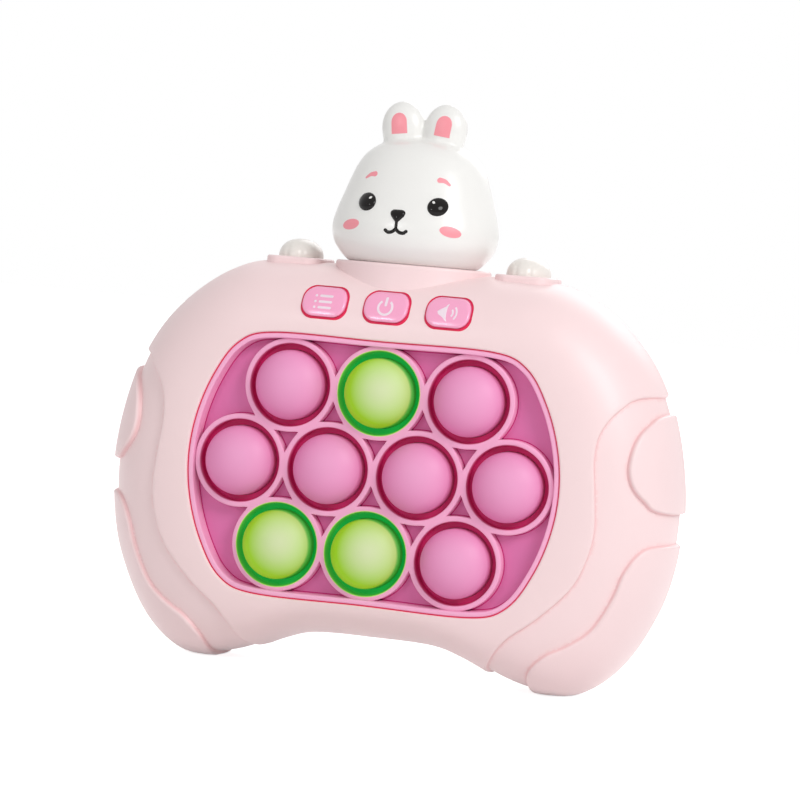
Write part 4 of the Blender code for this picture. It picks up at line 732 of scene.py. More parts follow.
    def lay(self, side, line):
        """A line in X and Z, laid on the crown and then flat."""
        rows, _, _, reach = self.tables[side]
        radii = np.linalg.norm(rows[:, :, ::2], axis=2)
        angles = np.arctan2(line[:, 1], line[:, 0])
        shares = []
        for angle, radius in zip(angles, np.linalg.norm(line, axis=1)):
            column = angle % (2 * pi) / (2 * pi) * len(self.dense)
            left = int(column)
            mix = column - left
            right = (left + 1) % len(self.dense)
            run = radii[:, left] * (1 - mix) + radii[:, right] * mix
            share = np.interp(radius, run, np.linspace(0, 1, len(run)))
            shares.append(share + max(radius - run[-1], 0) / reach[left])
        return self.flat_map(side, angles, np.array(shares))

    def relief_lines(self, side):
        """Lines along every slope on the flat map, and the directions where they leave the shell."""
        lines, crossings = [], []
        for (_, _, _, panel), laid in zip(self.areas, self.laid[side]):
            normal = np.gradient(laid, axis=0)
            normal = joined(-normal[:, 1], normal[:, 0])
            normal /= np.linalg.norm(normal, axis=1)[:, None]
            middle = len(laid) // 2
            outward = normal[middle] @ laid[middle] > 0
            normal *= -1 if outward == panel else 1
            for share in SLOPE_STEPS:
                line = laid + normal * (share - SLOPE_MIDDLE) * self.slope
                angles, shares = self.from_flat(side, line)
                kept = np.flatnonzero(shares < 1)
                ends = []
                for inner, outer in ((kept[0], kept[0] - 1), (kept[-1], kept[-1] + 1)):
                    mix = (1 - shares[inner]) / (shares[outer] - shares[inner])
                    ends.append(angles[inner] + mix * (angles[outer] - angles[inner]))
                body = self.flat_map(side, angles[kept], shares[kept])
                for flip in (False, True):
                    at = np.array([pi - angle for angle in ends] if flip else ends)
                    at = (at + pi) % (2 * pi) - pi
                    crossings += list(at)
                    tips = self.flat_map(side, at, np.ones(2))
                    inner_line = body * (-1, 1) if flip else body
                    whole = np.vstack([tips[:1], inner_line, tips[1:]])
                    count = max(int(along(whole)[-1] / SLOPE_POINT_STEP), 8)
                    lines.append(evenly(whole, count, closed=False))
                    lines[-1][0], lines[-1][-1] = tips
        return lines, np.array(crossings)

    def lifts(self, side, flat):
        """How far the raised areas lift each point, how far the nearest slope is, and how strong the painted
        shade in its crease is.
        """
        angles, shares = self.from_flat(side, flat)
        points, _ = self.at(side, angles, shares)
        plain = joined(np.abs(points[:, 0]), points[:, 2])
        mirrored = np.hstack([np.abs(flat[:, :1]), flat[:, 1:]])
        lift, crease_shade = np.zeros(len(flat)), np.zeros(len(flat))
        near = np.full(len(flat), np.inf)
        for (_, area, rise, _), laid in zip(self.areas, self.laid[side]):
            away = distance(mirrored, laid) * np.where(inside(plain, area), 1, -1)
            share = np.clip(away / self.slope + SLOPE_MIDDLE, 0, 1)
            lift = np.maximum(lift, rise * (1 - (1 - share) ** SLOPE_EASE))
            # Painted shade: strongest a little way up from the foot of each slope
            tone = np.exp(-(((share - CREASE_SHADE_MIDDLE) / CREASE_SHADE_WIDTH) ** 2))
            crease_shade = np.maximum(crease_shade, np.where((share > 0) & (share < 1), tone, 0))
            outer, inner = (1 - SLOPE_MIDDLE) * self.slope, SLOPE_MIDDLE * self.slope
            near = np.minimum(near, np.maximum(away - outer, -inner - away))
        return lift, near, crease_shade

    def crown(self, side):
        """The outer skin from share 0 to 1, with mesh edges along every slope: points, faces and the painted
        crease shade.
        """
        angles = self.angles[side]
        loops = [self.flat_map(side, angles, np.full(len(angles), share)) for share in (0.0, 1.0)]
        count = len(angles)
        flat, edges = list(np.vstack(loops)), loop_edges(0, count) + loop_edges(count, count)
        for line in self.lines[side]:
            first = len(flat)
            flat += list(line)
            edges += [(first + i, first + i + 1) for i in range(len(line) - 1)]
        rows = CROWN_ROWS[side]
        spread = np.linspace(-pi, pi, CROWN_SPOKES, endpoint=False)
        grid = np.vstack([
            self.flat_map(side, spread, np.full(len(spread), row / rows)) for row in range(1, rows)
        ])
        grid = grid[self.lifts(side, grid)[1] > SLOPE_CLEARANCE]
        coords = [Vector(point) for point in (*flat, *grid)]
        placed_at, _, faces, *_ = delaunay_2d_cdt(coords, edges, [], 0, 1e-8)
        placed_at = np.array([tuple(point) for point in placed_at])
        middles = np.array([placed_at[list(face)].mean(axis=0) for face in faces])
        _, shares = self.from_flat(side, middles)
        faces = [face for face, share in zip(faces, shares) if 0 < share < 1]
        turns, shares = self.from_flat(side, placed_at)
        points, normals = self.at(side, turns, shares)
        lift, _, crease_shade = self.lifts(side, placed_at)
        return points + normals * lift[:, None], faces, crease_shade

    def ring(self, side, share, drop=0.0, raised=False):
        """A ring of the crown at a share, pushed in by a drop or lifted by its relief."""
        angles = self.angles[side]
        points, normals = self.at(side, angles, np.full(len(angles), share))
        lift = -drop
        if raised:
            lift = self.lifts(side, self.flat_map(side, angles, np.full(len(angles), share)))[0][:, None]
        return points + normals * lift

    def ring_over(self, side, line, y, grow=0.0):
        """A ring with the skin's directions over an outline, at a depth."""
        angles = self.angles[side]
        radius = radius_at(line, angles) + grow
        return joined(radius * np.cos(angles), y, radius * np.sin(angles))

    def panel_depth(self, x, z):
        """The Y of the raised panel in front, at places over the grid's middle."""
        angle = np.arctan2(z, x)
        inner = radius_at(self.land, angle)
        edge = radius_at(self.outline, angle) + PANEL_RISE
        power = SIDE_POWER + (TOP_POWER - SIDE_POWER) * np.maximum(np.sin(angle), 0)
        share = np.clip((np.hypot(x, z) - inner) / (edge - inner), 0, 1)
        return PARTING_Y - (FRONT_DEPTH + PANEL_RISE) * (1 - share**power) ** (1 / power)


def strip(rings):
    """Points and faces of a skin over rings, open at both ends."""
    rings = np.asarray(rings)
    count, width = rings.shape[:2]
    low = np.arange(count - 1)[:, None] * width + np.arange(width)
    high = np.roll(low, -1, axis=1)
    faces = joined(low, high, high + width, low + width).reshape(-1, 4).tolist()
    return rings.reshape(-1, 3), faces


def shell_mesh(name, parts, gap, side):
    """Open skins welded along their shared rings, stopped at the seam and at the floor."""
    points, faces = [], []
    for part_points, part_faces, *_ in parts:
        first = sum(len(group) for group in points)
        points.append(np.asarray(part_points, float))
        faces += [tuple(first + i for i in face) for face in part_faces]
    # Painted shade along the creases, kept as a point attribute for the case finish
    crease_shades = [part[2] if len(part) > 2 else np.zeros(len(part[0])) for part in parts]
    points = np.vstack(points)
    limit = PARTING_Y + side * gap / 2
    points[:, 1] = np.minimum(points[:, 1], limit) if side < 0 else np.maximum(points[:, 1], limit)
    points[:, 2] = np.maximum(points[:, 2] + GRID_Z, 0)
    mesh = bpy.data.meshes.new(name)
    mesh.from_pydata(points.tolist(), [], faces)
    mesh.attributes.new("crease_shade", "FLOAT", "POINT").data.foreach_set("value", np.concatenate(crease_shades))
    with editing(mesh) as work:
        bmesh.ops.remove_doubles(work, verts=work.verts, dist=2e-6)
    return finished(mesh)


def button_outline(i, grow=0.0):
    """The outline of a button in its place, moved out."""
    return rounded_box(BUTTON_HALF + grow, BUTTON_CORNER, 12) + ((i - 1) * BUTTON_SPACING, BUTTON_Z)


def button_holes():
    """The holes sit a touch low, so each gap is widest under its button."""
    holes = [button_outline(i, BUTTON_GAP) + HOLE_SHIFT for i in range(3)]
    return merged("button_holes", [prism("hole", hole, FRONT_Y - 0.004, PARTING_Y) for hole in holes])


def make_front_shell(sizes, skin, material):
    """The front shell: outer skin, lining, collar round the window and the window's rounded rim."""
    soft = sizes.window_round
    edge = skin.ring(-1, 1.0, raised=True)
    lining = [skin.ring(-1, share, drop=sizes.shell_wall) for share in np.linspace(1, LINING_END, 9)]
    collar = [
        skin.ring_over(-1, skin.window, FRONT_Y + sizes.shell_wall, COLLAR_WALL),
        skin.ring_over(-1, skin.window, FRONT_Y + COLLAR_DEPTH, COLLAR_WALL),
        skin.ring_over(-1, skin.window, FRONT_Y + COLLAR_DEPTH),
    ]
    rim = [
        skin.ring_over(-1, skin.window, FRONT_Y + soft * (1 - sin(t)), soft * (1 - cos(t)))
        for t in np.linspace(0, pi / 2, 5)[:-1]
    ]
    inner = skin.ring(-1, 0.0, raised=True)
    parts = [skin.crown(-1), strip([edge, *lining, *collar, *rim, inner])]
    mesh = boolean("shell_front", shell_mesh("shell_front", parts, sizes.seam, -1), button_holes())
    return piece("shell_front", mesh, material, replaces=("front_shell",))


def door_outline_mesh(name, grow, y_from, y_to):
    """The door's shape: a rounded rectangle with a round ear on its top edge."""
    plate = prism(name, rounded_box(DOOR_HALF + grow, DOOR_CORNER + grow) + (0, DOOR_Z), y_from, y_to)
    ear = prism(name + "_ear", circle(DOOR_EAR_RADIUS + grow, 64) + (0, DOOR_EAR_Z), y_from, y_to)
    return boolean(name, plate, ear, "UNION")


def speaker_slots():
    """Upright slots that fill a round area in front of the speaker."""
    slots = []
    for i in range(SLOT_COUNT):
        x = (i - SLOT_COUNT // 2) * SLOT_PITCH
        half = ((SPEAKER_RADIUS - 0.0020) ** 2 - x**2) ** 0.5
        outline = rounded_box((SLOT_HALF_WIDTH, half), SLOT_HALF_WIDTH - 0.00001, 6) + (x, SPEAKER_Z)
        slots.append(prism(f"slot_{i}", outline, PARTING_Y + 0.004, BACK_Y + 0.004))
    return slots


def make_rear_shell(sizes, skin, material):
    """The rear shell with its flat back, cut for the door, the speaker and the screw wells."""
    flat_y = PARTING_Y + REAR_DEPTH
    reach = skin.land * REAR_FLAT_SHARE
    edge = skin.ring(1, 1.0, raised=True)
    lining = [skin.ring(1, share, drop=sizes.shell_wall) for share in np.linspace(1, LINING_END, 8)]
    back = [skin.ring_over(1, reach * share, flat_y - sizes.shell_wall) for share in (0.9, 0.5, 0.02)]
    disc = [skin.ring_over(1, reach * share, flat_y + PANEL_RISE) for share in np.linspace(0.02, 0.98, 14)]
    parts = [
        skin.crown(1), strip([edge, *lining, *back]), strip([*disc, skin.ring(1, 0.0, raised=True)]),
    ]
    for end in (back[-1], disc[0]):
        hub = end.mean(axis=0)
        parts.append((np.vstack([end, hub]), [(i, (i + 1) % len(end), len(end)) for i in range(len(end))]))
    mesh = shell_mesh("shell_rear", parts, sizes.seam, 1)
    tools = [door_outline_mesh("door_cut", DOOR_GAP, BACK_Y - 0.006, BACK_Y + 0.004), *speaker_slots()]
    for i, place in enumerate(CASE_SCREWS):
        well = circle(WELL_RADIUS, 40) + (place.x, place.z)
        tools.append(prism(f"well_{i}", well, PARTING_Y + 0.003, BACK_Y + 0.004))
    mesh = boolean("shell_rear", mesh, merged("rear_cuts", tools))
    return piece("shell_rear", mesh, material, replaces=("rear_shell",))


def make_wells(sizes, skin, material):
    """Tubes in the rear shell that lead down to the case screws."""
    form = [skin.ring(1, share, drop=0.0004)[::8] for share in np.linspace(0, 1, 12)]
    limit_mesh = shell_mesh("well_limit", [strip(form)], sizes.seam, 1)
    with editing(limit_mesh) as work:
        bmesh.ops.holes_fill(work, edges=[edge for edge in work.edges if edge.is_boundary])
    finished(limit_mesh)
    wall, floor = WELL_RADIUS + WELL_WALL, SCREW_SEAT_Y - WELL_FLOOR
    profile = [
        (WELL_RADIUS, SCREW_SEAT_Y), (WELL_RADIUS, BACK_Y), (wall, BACK_Y), (wall, floor),
        (SHANK_HOLE_RADIUS, floor), (SHANK_HOLE_RADIUS, SCREW_SEAT_Y),
    ]
    for i, place in enumerate(CASE_SCREWS, start=1):
        tube = turned(f"screw_well_{i}", profile, (place.x, 0, place.z), 40)
        mesh = boolean(f"screw_well_{i}", tube, limit_mesh.copy(), "INTERSECT")
        piece(f"screw_well_{i}", mesh, material)


def window_band(name, profile):
    """A band along the window through points of (how far out, Y)."""
    rings = [at_depth(closed_outline(WINDOW_SHARES, WINDOW, 480, grow), y) for grow, y in profile]
    return loft(name, rings, around=True)


def make_gap_shades(skin, material):
    """Painted shade: deep red bands in the gaps round the window and round each button, with a faint painted
    glow.
    """
    band = window_band("window_gap_shade", [(grow, FRONT_Y + drop) for grow, drop in WINDOW_GAP_SHADE])
    piece("window_gap_shade", band, material)
    for i, key in enumerate(BUTTON_KEYS):
        rings = []
        for grow, drop in BUTTON_GAP_SHADE:
            line = button_outline(i, grow)
            line += HOLE_SHIFT if grow > BUTTON_GAP else 0
            depth = skin.panel_depth(line[:, 0], line[:, 1] - GRID_Z) + drop
            rings.append(joined(line[:, 0], depth, line[:, 1]))
        name = f"{key}_button_gap_shade"
        piece(name, loft(name, rings, around=True), material)


# Top edge


def flared(name, outline, centre, top, foot, soft, flare, rear_reach=0.0):
    """A boss with a rounded rim whose front sweeps out towards its foot, and whose back reaches deeper."""
    half = abs(outline[:, 0]).max()
    depth_share = outline[:, 1] / abs(outline[:, 1]).max()
    forward = np.clip(0.35 - depth_share, 0, 1)
    deeper = 1 + rear_reach * np.clip(depth_share, 0, 1) ** 0.5
    rows = [(top, 0.45, 0), (top, 1 - soft / half, 0)]
    for t in np.linspace(0, pi / 2, 6)[1:]:
        rows.append((top - soft * (1 - cos(t)), 1 - soft * (1 - sin(t)) / half, 0))
    for drop in np.linspace(soft + 0.0004, top - foot, 18):
        rows.append((top - drop, 1, flare * max(drop - soft, 0) ** 2))
    ahead = grown(outline, 1.0) - outline
    rings = []
    for z, share, out in rows:
        line = outline + ahead * (share - 1) * half if share > 0.5 else outline * share
        line = line + ahead * (out * forward)[:, None]
        heights = top - (top - z) * deeper
        rings.append(joined(centre[0] + line[:, 0], centre[1] + line[:, 1], heights))
    return loft(name, rings, fan_start=True)


def make_top_edge(sizes, material):
    """The neck platform and the collars of the paws, split at the seam."""
    neck = NECK_TOP, NECK_FOOT, NECK_SOFT, NECK_FLARE, NECK_REAR_REACH
    collar = PAW_COLLAR_TOP, PAW_COLLAR_FOOT, PAW_COLLAR_SOFT, PAW_COLLAR_FLARE
    shapes = {"neck": flared("neck", ellipse(NECK_HALF, 160), (0, NECK_Y), *neck)}
    outline = rounded_box(PAW_COLLAR_HALF, PAW_COLLAR_HALF[0] * 0.55, 12)
    for sign, side in SIDES:
        name = f"collar_{side}"
        shapes[name] = flared(name, outline, (sign * PAW_X, PAW_Y), *collar)
    for name, mesh in shapes.items():
        for half, front in HALVES:
            part = half_of(f"{name}_{half}", mesh, sizes.seam, front)
            if name == "neck" and front:
                part = boolean(f"{name}_{half}", part, button_holes())
            piece(f"{name}_{half}", part, material)


def make_paws(material):
    """Two paws with three toes each, resting in their collars."""
    around = np.arange(96) * 2 * pi / 96
    for sign, side in SIDES:
        rings = []
        for t in np.linspace(0, radians(86), 26):
            share = cos(t) ** 0.9
            x, y = PAW_HALF[0] * share * np.cos(around), PAW_HALF[1] * share * np.sin(around)
            toes = sum(np.exp(-(((x - at) / TOE_GROOVE_WIDTH) ** 2)) for at in TOE_GROOVES)
            front = np.clip(-y / PAW_HALF[1] - 0.2, 0, 1) ** 0.7
            shrink = 1 - TOE_GROOVE_DEPTH * toes * front * cos(t)
            height = PAW_COLLAR_TOP + PAW_LIFT + PAW_RISE * sin(t)
            rings.append(joined(sign * PAW_X + x, PAW_Y + y * shrink, height))
        mesh = loft(f"paw_{side}_shown", [rings[0] - (0, 0, PAW_SINK), *rings], fan_end=True)
        piece(f"paw_{side}_shown", mesh, material, replaces=(f"paw_{side}",))


# Bubbles and sheet


def rounded_profile(points, soft, steps=5):
    """A profile with the marked corners rounded: each point is (radius, height, soft or not)."""
    made = []
    for i, (*here, turn) in enumerate(points):
        here = np.array(here)
        if not turn:
            made.append(tuple(here))
            continue
        before = np.array(points[i - 1][:2]) - here
        after = np.array(points[(i + 1) % len(points)][:2]) - here
        reach = min(soft, np.linalg.norm(before) / 2, np.linalg.norm(after) / 2)
        a = here + before / np.linalg.norm(before) * reach
        b = here + after / np.linalg.norm(after) * reach
        for t in np.linspace(0, 1, steps):
            made.append(tuple((1 - t) ** 2 * a + 2 * t * (1 - t) * here + t**2 * b))
    return made


def ring_reach(place, turns):
    """How far a ring's outer wall reaches in each direction, and how far the halfway line to the next is."""
    pitch = (BUBBLES[1] - BUBBLES[0]).length
    web, halfway = np.full(len(turns), RING_RADIUS), np.full(len(turns), 1.0)
    for other in BUBBLES:
        step = other - place
        if not 0 < step.length < 1.2 * pitch:
            continue
        away = (turns - np.arctan2(step.z, step.x) + pi) % (2 * pi) - pi
        web = np.maximum(web, RING_RADIUS + WEB_GROW * np.exp(-((away / WEB_HALF_ANGLE) ** 2)))
        halfway = np.minimum(halfway, step.length / 2 / np.maximum(np.cos(away), 0.3))
    return web, halfway


def make_rings(sizes, plain, lit, deep):
    """One ring and groove round each bubble. Neighbours meet halfway, with a small web at each side."""
    foot_shades = []
    floor = SHEET_FLOOR_Y + 0.0003
    back = floor + 0.0008
    groove_foot, dome_hole = GROOVE_RADIUS - 0.0002, BUBBLE_RADIUS + 0.0001
    edge = sizes.ring_round
    turns = np.arange(288) * 2 * pi / 288
    across, up = np.cos(turns), np.sin(turns)
    for i, place in enumerate(BUBBLES, start=1):
        web, halfway = ring_reach(place, turns)
        reach = np.minimum(web, halfway)
        soft = edge * np.clip((halfway - web) / 0.0004, 0, 1)
        rows = [(reach, floor)]
        for t in np.linspace(0, pi / 2, 5):
            rows.append((reach - soft * (1 - cos(t)), RING_Y + soft * (1 - sin(t))))
        for t in np.linspace(pi / 2, 0, 5):
            rows.append((GROOVE_RADIUS + edge * (1 - cos(t)), RING_Y + edge * (1 - sin(t))))
        rows += [(groove_foot, floor), (dome_hole, floor), (dome_hole, back), (reach, back)]
        rings = [joined(radius * across, height, radius * up) for radius, height in rows]
        name = f"ring_{i:02d}"
        finish = lit if i in LIT_BUBBLES else plain
        made = piece(name, loft(name, rings, around=True), finish, body=None)
        made.location = (place.x, 0, place.z)
        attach(made, CONSOLE)
        # Painted shade: a deep pink line round the foot of each ring
        foot = []
        for grow, height in FOOT_SHADE:
            wide = reach + grow
            foot.append(joined(place.x + wide * across, SHEET_FLOOR_Y + height, place.z + wide * up))
        foot_shades.append(loft(f"foot_{i}", foot, around=True))
    piece("ring_foot_shades", merged("ring_foot_shades", foot_shades), deep)


def ring_holes():
    """What is taken out of the sheet's floor under the rings."""
    holes = []
    for i, place in enumerate(BUBBLES):
        hole = circle(RING_RADIUS - 0.0004, 96) + (place.x, place.z)
        holes.append(prism(f"hole_{i}", hole, SHEET_FLOOR_Y - 0.003, SHEET_FLOOR_Y + 0.003))
    return merged("ring_holes", holes)


def make_sheet(sizes, material, lip_material, deep):
    """The sheet's floor with a hole under each ring, and the lip along the window with a painted shade line
    at its foot.
    """
    outline = closed_outline(WINDOW_SHARES, WINDOW, 360, 0.0012) + (0, GRID_Z)
    floor = prism("sheet_floor", outline, SHEET_FLOOR_Y, SHEET_FLOOR_Y + SHEET_THICKNESS)
    mesh = boolean("sheet_floor", floor, ring_holes())
    piece("sheet_floor", mesh, material, replaces=("bubble_sheet",))
    outer, inner, foot = -0.0003, -0.0003 - sizes.lip_width, -0.0005 - sizes.lip_width
    profile = rounded_profile([
        (outer, SHEET_FLOOR_Y + 0.0004, False), (outer, SHEET_LIP_Y, True), (inner, SHEET_LIP_Y, True),
        (foot, SHEET_FLOOR_Y + 0.0004, False),
    ], 0.0004)
    piece("sheet_lip", window_band("sheet_lip", profile), lip_material)
    line = window_band("lip_foot_shade", [(foot - grow, SHEET_FLOOR_Y + height) for grow, height in FOOT_SHADE])
    piece("lip_foot_shade", boolean("lip_foot_shade", line, ring_holes()), deep)


def make_domes(sizes, plain, lit):
    """Ten soft domes; each rides on its own key."""
    rise, wall = sizes.bubble_rise, sizes.bubble_wall
    inside_radius = BUBBLE_RADIUS - wall
    turns = np.linspace(0, pi / 2, 22)
    outer = [(BUBBLE_RADIUS * sin(t), RING_Y - rise * cos(t)) for t in turns]
    inner = [(inside_radius * sin(t), RING_Y - (rise - wall) * cos(t)) for t in turns[::-2]]
    skirt = [(BUBBLE_RADIUS, RING_Y + 0.002), (BUBBLE_RADIUS, DOME_SKIRT_Y), (inside_radius, DOME_SKIRT_Y)]
    for i, place in enumerate(BUBBLES, start=1):
        name = f"dome_{i:02d}"
        mesh = turned(name, [*outer, *skirt, *inner], (0, 0, 0), sharp=radians(60))
        finish, slot = (lit, "lit_silicone") if i in LIT_BUBBLES else (plain, "pink_silicone")
        made = piece(name, mesh, finish, body=None, replaces=(f"bubble_{i:02d}",))
        made.location = (place.x, 0, place.z)
        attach(made, f"bubble_key_{i:02d}")


# Buttons and their icons


def button_mesh(name, i, sizes, skin):
    """A softly pillowed cap whose rim follows the raised panel."""
    outline = rounded_box(BUTTON_HALF, BUTTON_CORNER, 12)
    middle, soft = ((i - 1) * BUTTON_SPACING, BUTTON_Z), sizes.button_round
    turns = np.linspace(0, pi / 2, 7)
    rows = [(1 - soft * (1 - cos(t)) / BUTTON_HALF[1], soft * (1 - sin(t))) for t in turns]
    foot = outline + middle
    rings = [joined(foot[:, 0], BUTTON_FOOT_Y, foot[:, 1])]
    for share, drop in [*rows, (0.6, 0), (0.4, 0), (0.2, 0), (0.05, 0)]:
        line = outline * share
        if share > 0.7:
            line = outline * (1 - (1 - share) * BUTTON_HALF[::-1] / BUTTON_HALF.max())
        pillow = BUTTON_PILLOW * (1 - (line / BUTTON_HALF) ** 2).clip(0).prod(axis=1)
        depths = skin.panel_depth(middle[0] + line[:, 0], middle[1] - GRID_Z + line[:, 1])
        depths += drop - sizes.button_proud - pillow
        rings.append(joined(middle[0] + line[:, 0], depths, middle[1] + line[:, 1]))
    return loft(name, rings, fan_end=True)


def make_buttons(sizes, skin, material, print_material):
    """Three buttons; each rides on its own key with its icon."""
    for i, key in enumerate(BUTTON_KEYS):
        name = f"{key}_button"
        mesh = button_mesh(f"{name}_cap", i, sizes, skin)
        piece(f"{name}_cap", mesh, material, body=f"{key}_key", replaces=(name,))
        icon = decal(f"{key}_icon", icon_outlines(key, i), surface_of(mesh), PAINT, spacing=0.0004)
        piece(f"{key}_icon", icon, print_material, body=f"{key}_key")


def arc_band(centre, radius, width, start, end, steps=28):
    """A thick arc as one closed outline; angles are clockwise from the top, in degrees."""
    turns = np.radians(np.linspace(start, end, steps))
    way = joined(np.sin(turns), np.cos(turns))
    return centre + np.vstack([way * (radius + width / 2), way[::-1] * (radius - width / 2)])


def icon_outlines(key, i):
    """Common signs: three listed lines, a power ring with its bar, and a sounding speaker."""
    at = np.array(((i - 1) * BUTTON_SPACING, BUTTON_Z))
    if key == "menu":
        bar, dot = evenly(rounded_box((0.0018, 0.00032), 0.00028, 4), 48), circle(0.00034, 14)
        columns, heights = ((dot, -0.0022), (bar, 0.0005)), (0.0015, 0, -0.0015)
        return [line + at + (x, z) for line, x in columns for z in heights]
    if key == "power":
        bar = evenly(rounded_box((0.00034, 0.0012), 0.0003, 4), 40)
        return [arc_band(at - (0, 0.0001), 0.00185, 0.0006, 36, 324), bar + at + (0, 0.0014)]
    horn = np.array(((-0.0027, 0.0002), (-0.0025, 0.0004), (0.0, 0.0023), (0.0, -0.0023), (-0.0025, -0.0004)))
    waves = [arc_band(at + (0.0001, 0), radius, 0.00046, 48, 132, 14) for radius in (0.0013, 0.0023)]
    return [horn + at, *waves]


# Head


def head_rings():
    """Rings from the head's foot to its crown, a little squarer than ellipses; the crown leans back."""
    shares = np.array(HEAD_LEVELS_SHARES)
    line = catmull(shares[:, ::-1] * (HEAD_HALF[0], HEAD_HEIGHT), 24)
    top = (0.115 * HEAD_HALF[0], HEAD_HEIGHT * 0.9985)
    line = evenly(np.vstack([line, top]), 70, closed=False)
    turns = np.arange(120) * 2 * pi / 120
    waves = np.array((np.cos(turns), np.sin(turns)))
    across, deep = np.sign(waves) * np.abs(waves) ** HEAD_SQUARENESS
    rings = []
    for half, z in np.vstack([line[0] - (0, HEAD_BOTTOM - NECK_TOP), line]):
        depth = half / HEAD_HALF[0] * HEAD_HALF[1]
        rise = min(max((z - HEAD_LEAN_FROM) / HEAD_LEAN_SPAN, 0), 1)
        middle = HEAD_Y + HEAD_LEAN * rise**2 * (3 - 2 * rise)
        rings.append(joined(half * across, middle + depth * deep, HEAD_BOTTOM + z))
    return rings


def ear_mesh(sign):
    """A round-topped ear that stays wide down to its root."""
    rings = []
    around = np.arange(64) * 2 * pi / 64
    tilt = np.array(Matrix.Rotation(sign * EAR_TILT, 3, "Y"))
    for t in np.linspace(-pi / 2, pi / 2, 42)[1:-1]:
        wide = cos(t) ** (1.0 if t > 0 else 0.5)
        ring = joined(wide * np.cos(around), wide * np.sin(around), sin(t))
        rings.append(ring * EAR_SIZE @ tilt.T + EAR_PLACE * (sign, 1, 1))
    return loft("ear", rings, fan_start=True, fan_end=True)


def head_form():
    """Head and ears as one skin, soft where they meet."""
    parts = [loft("skull", head_rings(), fan_end=True), ear_mesh(-1), ear_mesh(1)]
    target = placed("head_form", merged("head_form", parts))
    voxels = target.modifiers.new("one skin", "REMESH")
    voxels.mode, voxels.voxel_size, voxels.use_smooth_shade = "VOXEL", 0.00038, True
    smooth = target.modifiers.new("soft", "SMOOTH")
    smooth.factor, smooth.iterations = 0.5, 16
    return evaluated("head_form", target)


def make_head(sizes, material):
    """The head's front and rear half, split at the seam."""
    form = head_form()
    for half, front in HALVES:
        name = f"head_{half}_shown"
        mesh = half_of(name, form, sizes.seam / 2, front, sharp=radians(50))
        piece(name, mesh, material, replaces=(f"head_{half}",))


def stroke(points, width, taper=0.0):
    """A brush stroke with round ends as one outline, thinner towards its end by the taper."""
    line = evenly(catmull(points, 8), 26, closed=False)
    ahead = np.gradient(line, axis=0)
    ahead /= np.linalg.norm(ahead, axis=1)[:, None]
    side = joined(-ahead[:, 1], ahead[:, 0])
    half = width / 2 * (1 - taper * np.linspace(0, 1, len(line)))[:, None]
    turns = np.linspace(0, pi, 9)[1:-1]
    start = [line[0] + half[0] * (-ahead[0] * sin(t) + side[0] * cos(t)) for t in turns]
    end = [line[-1] + half[-1] * (ahead[-1] * sin(t) - side[-1] * cos(t)) for t in turns]
    return np.vstack([line + half * side, end[::-1], (line - half * side)[::-1], start[::-1]])


def ear_patch(sign):
    """An arch with a flat foot, on the front of an ear."""
    half, foot = EAR_PATCH_HALF, EAR_PATCH_FOOT
    arch = [(half * cos(t), EAR_PATCH_TOP - half + half * 1.15 * sin(t)) for t in np.linspace(0, pi, 22)]
    x, z = np.array([*arch, (-half * 1.02, foot), (half * 1.02, foot)]).T
    tilt = sign * EAR_PATCH_TILT
    leaning = joined(x * cos(tilt) + z * sin(tilt), -x * sin(tilt) + z * cos(tilt))
    return evenly(leaning[::-1], 90) + EAR_PATCH_PLACE * np.array((sign, 1))


def at_face(place, sign=1):
    """A place over the grid's middle in space, mirrored for the left side."""
    return np.array((sign * place[0], GRID_Z + place[1]))


def make_face(sizes, dark, blush, pale):
    """Eyes with painted white glints, nose, mouth, brows, cheeks and ear patches, each laid on the head."""
    depth = surface_of(bpy.data.objects["head_front_shown"].data)

    def lay(name, outline, finish, surface=depth, lift=PAINT, bulge=0.0):
        return piece(name, decal(name, [outline], surface, lift, bulge), finish).data

    middle = np.array((FACE_X, 0))
    for sign, side in SIDES:
        eye = ellipse(EYE_HALF, 56) + at_face(EYE_PLACE, sign)
        eyeball = surface_of(lay(f"eye_{side}", eye, dark, lift=0.00005, bulge=sizes.eye_bulge))
        # Painted highlight: a white glint at the upper inner side of each eye
        glint = ellipse(GLINT_HALF, 24, -sign * GLINT_TURN) + at_face(GLINT_PLACE, sign)
        lay(f"eye_glint_{side}", glint, pale, eyeball, 0.00002)
        cheek = ellipse(CHEEK_HALF, 48, -sign * CHEEK_TURN) + at_face(CHEEK_PLACE, sign)
        lay(f"cheek_{side}", cheek, blush)
        brow = stroke([(sign * x, z) for x, z in BROW_POINTS], BROW_WIDTH, BROW_TAPER)
        lay(f"brow_{side}", brow + (0, GRID_Z - BROW_SKEW * sign), blush)
        lay(f"ear_patch_{side}", ear_patch(sign), blush)
        lip = stroke([at_face(point, sign) for point in LIP_POINTS], LIP_WIDTH) + middle
        lay(f"mouth_{side}", lip, dark, bulge=0.00015)
    stem = stroke([at_face(point) for point in STEM_POINTS], STEM_WIDTH) + middle
    lay("mouth_stem", stem, dark, bulge=0.00015)
    nose = softened(evenly(np.array(NOSE_POINTS), 60), NOSE_SOFTNESS) + (FACE_X, GRID_Z + NOSE_Z)
    lay("nose", nose, dark, lift=0.00005, bulge=0.0006)


# Door, bay and screws


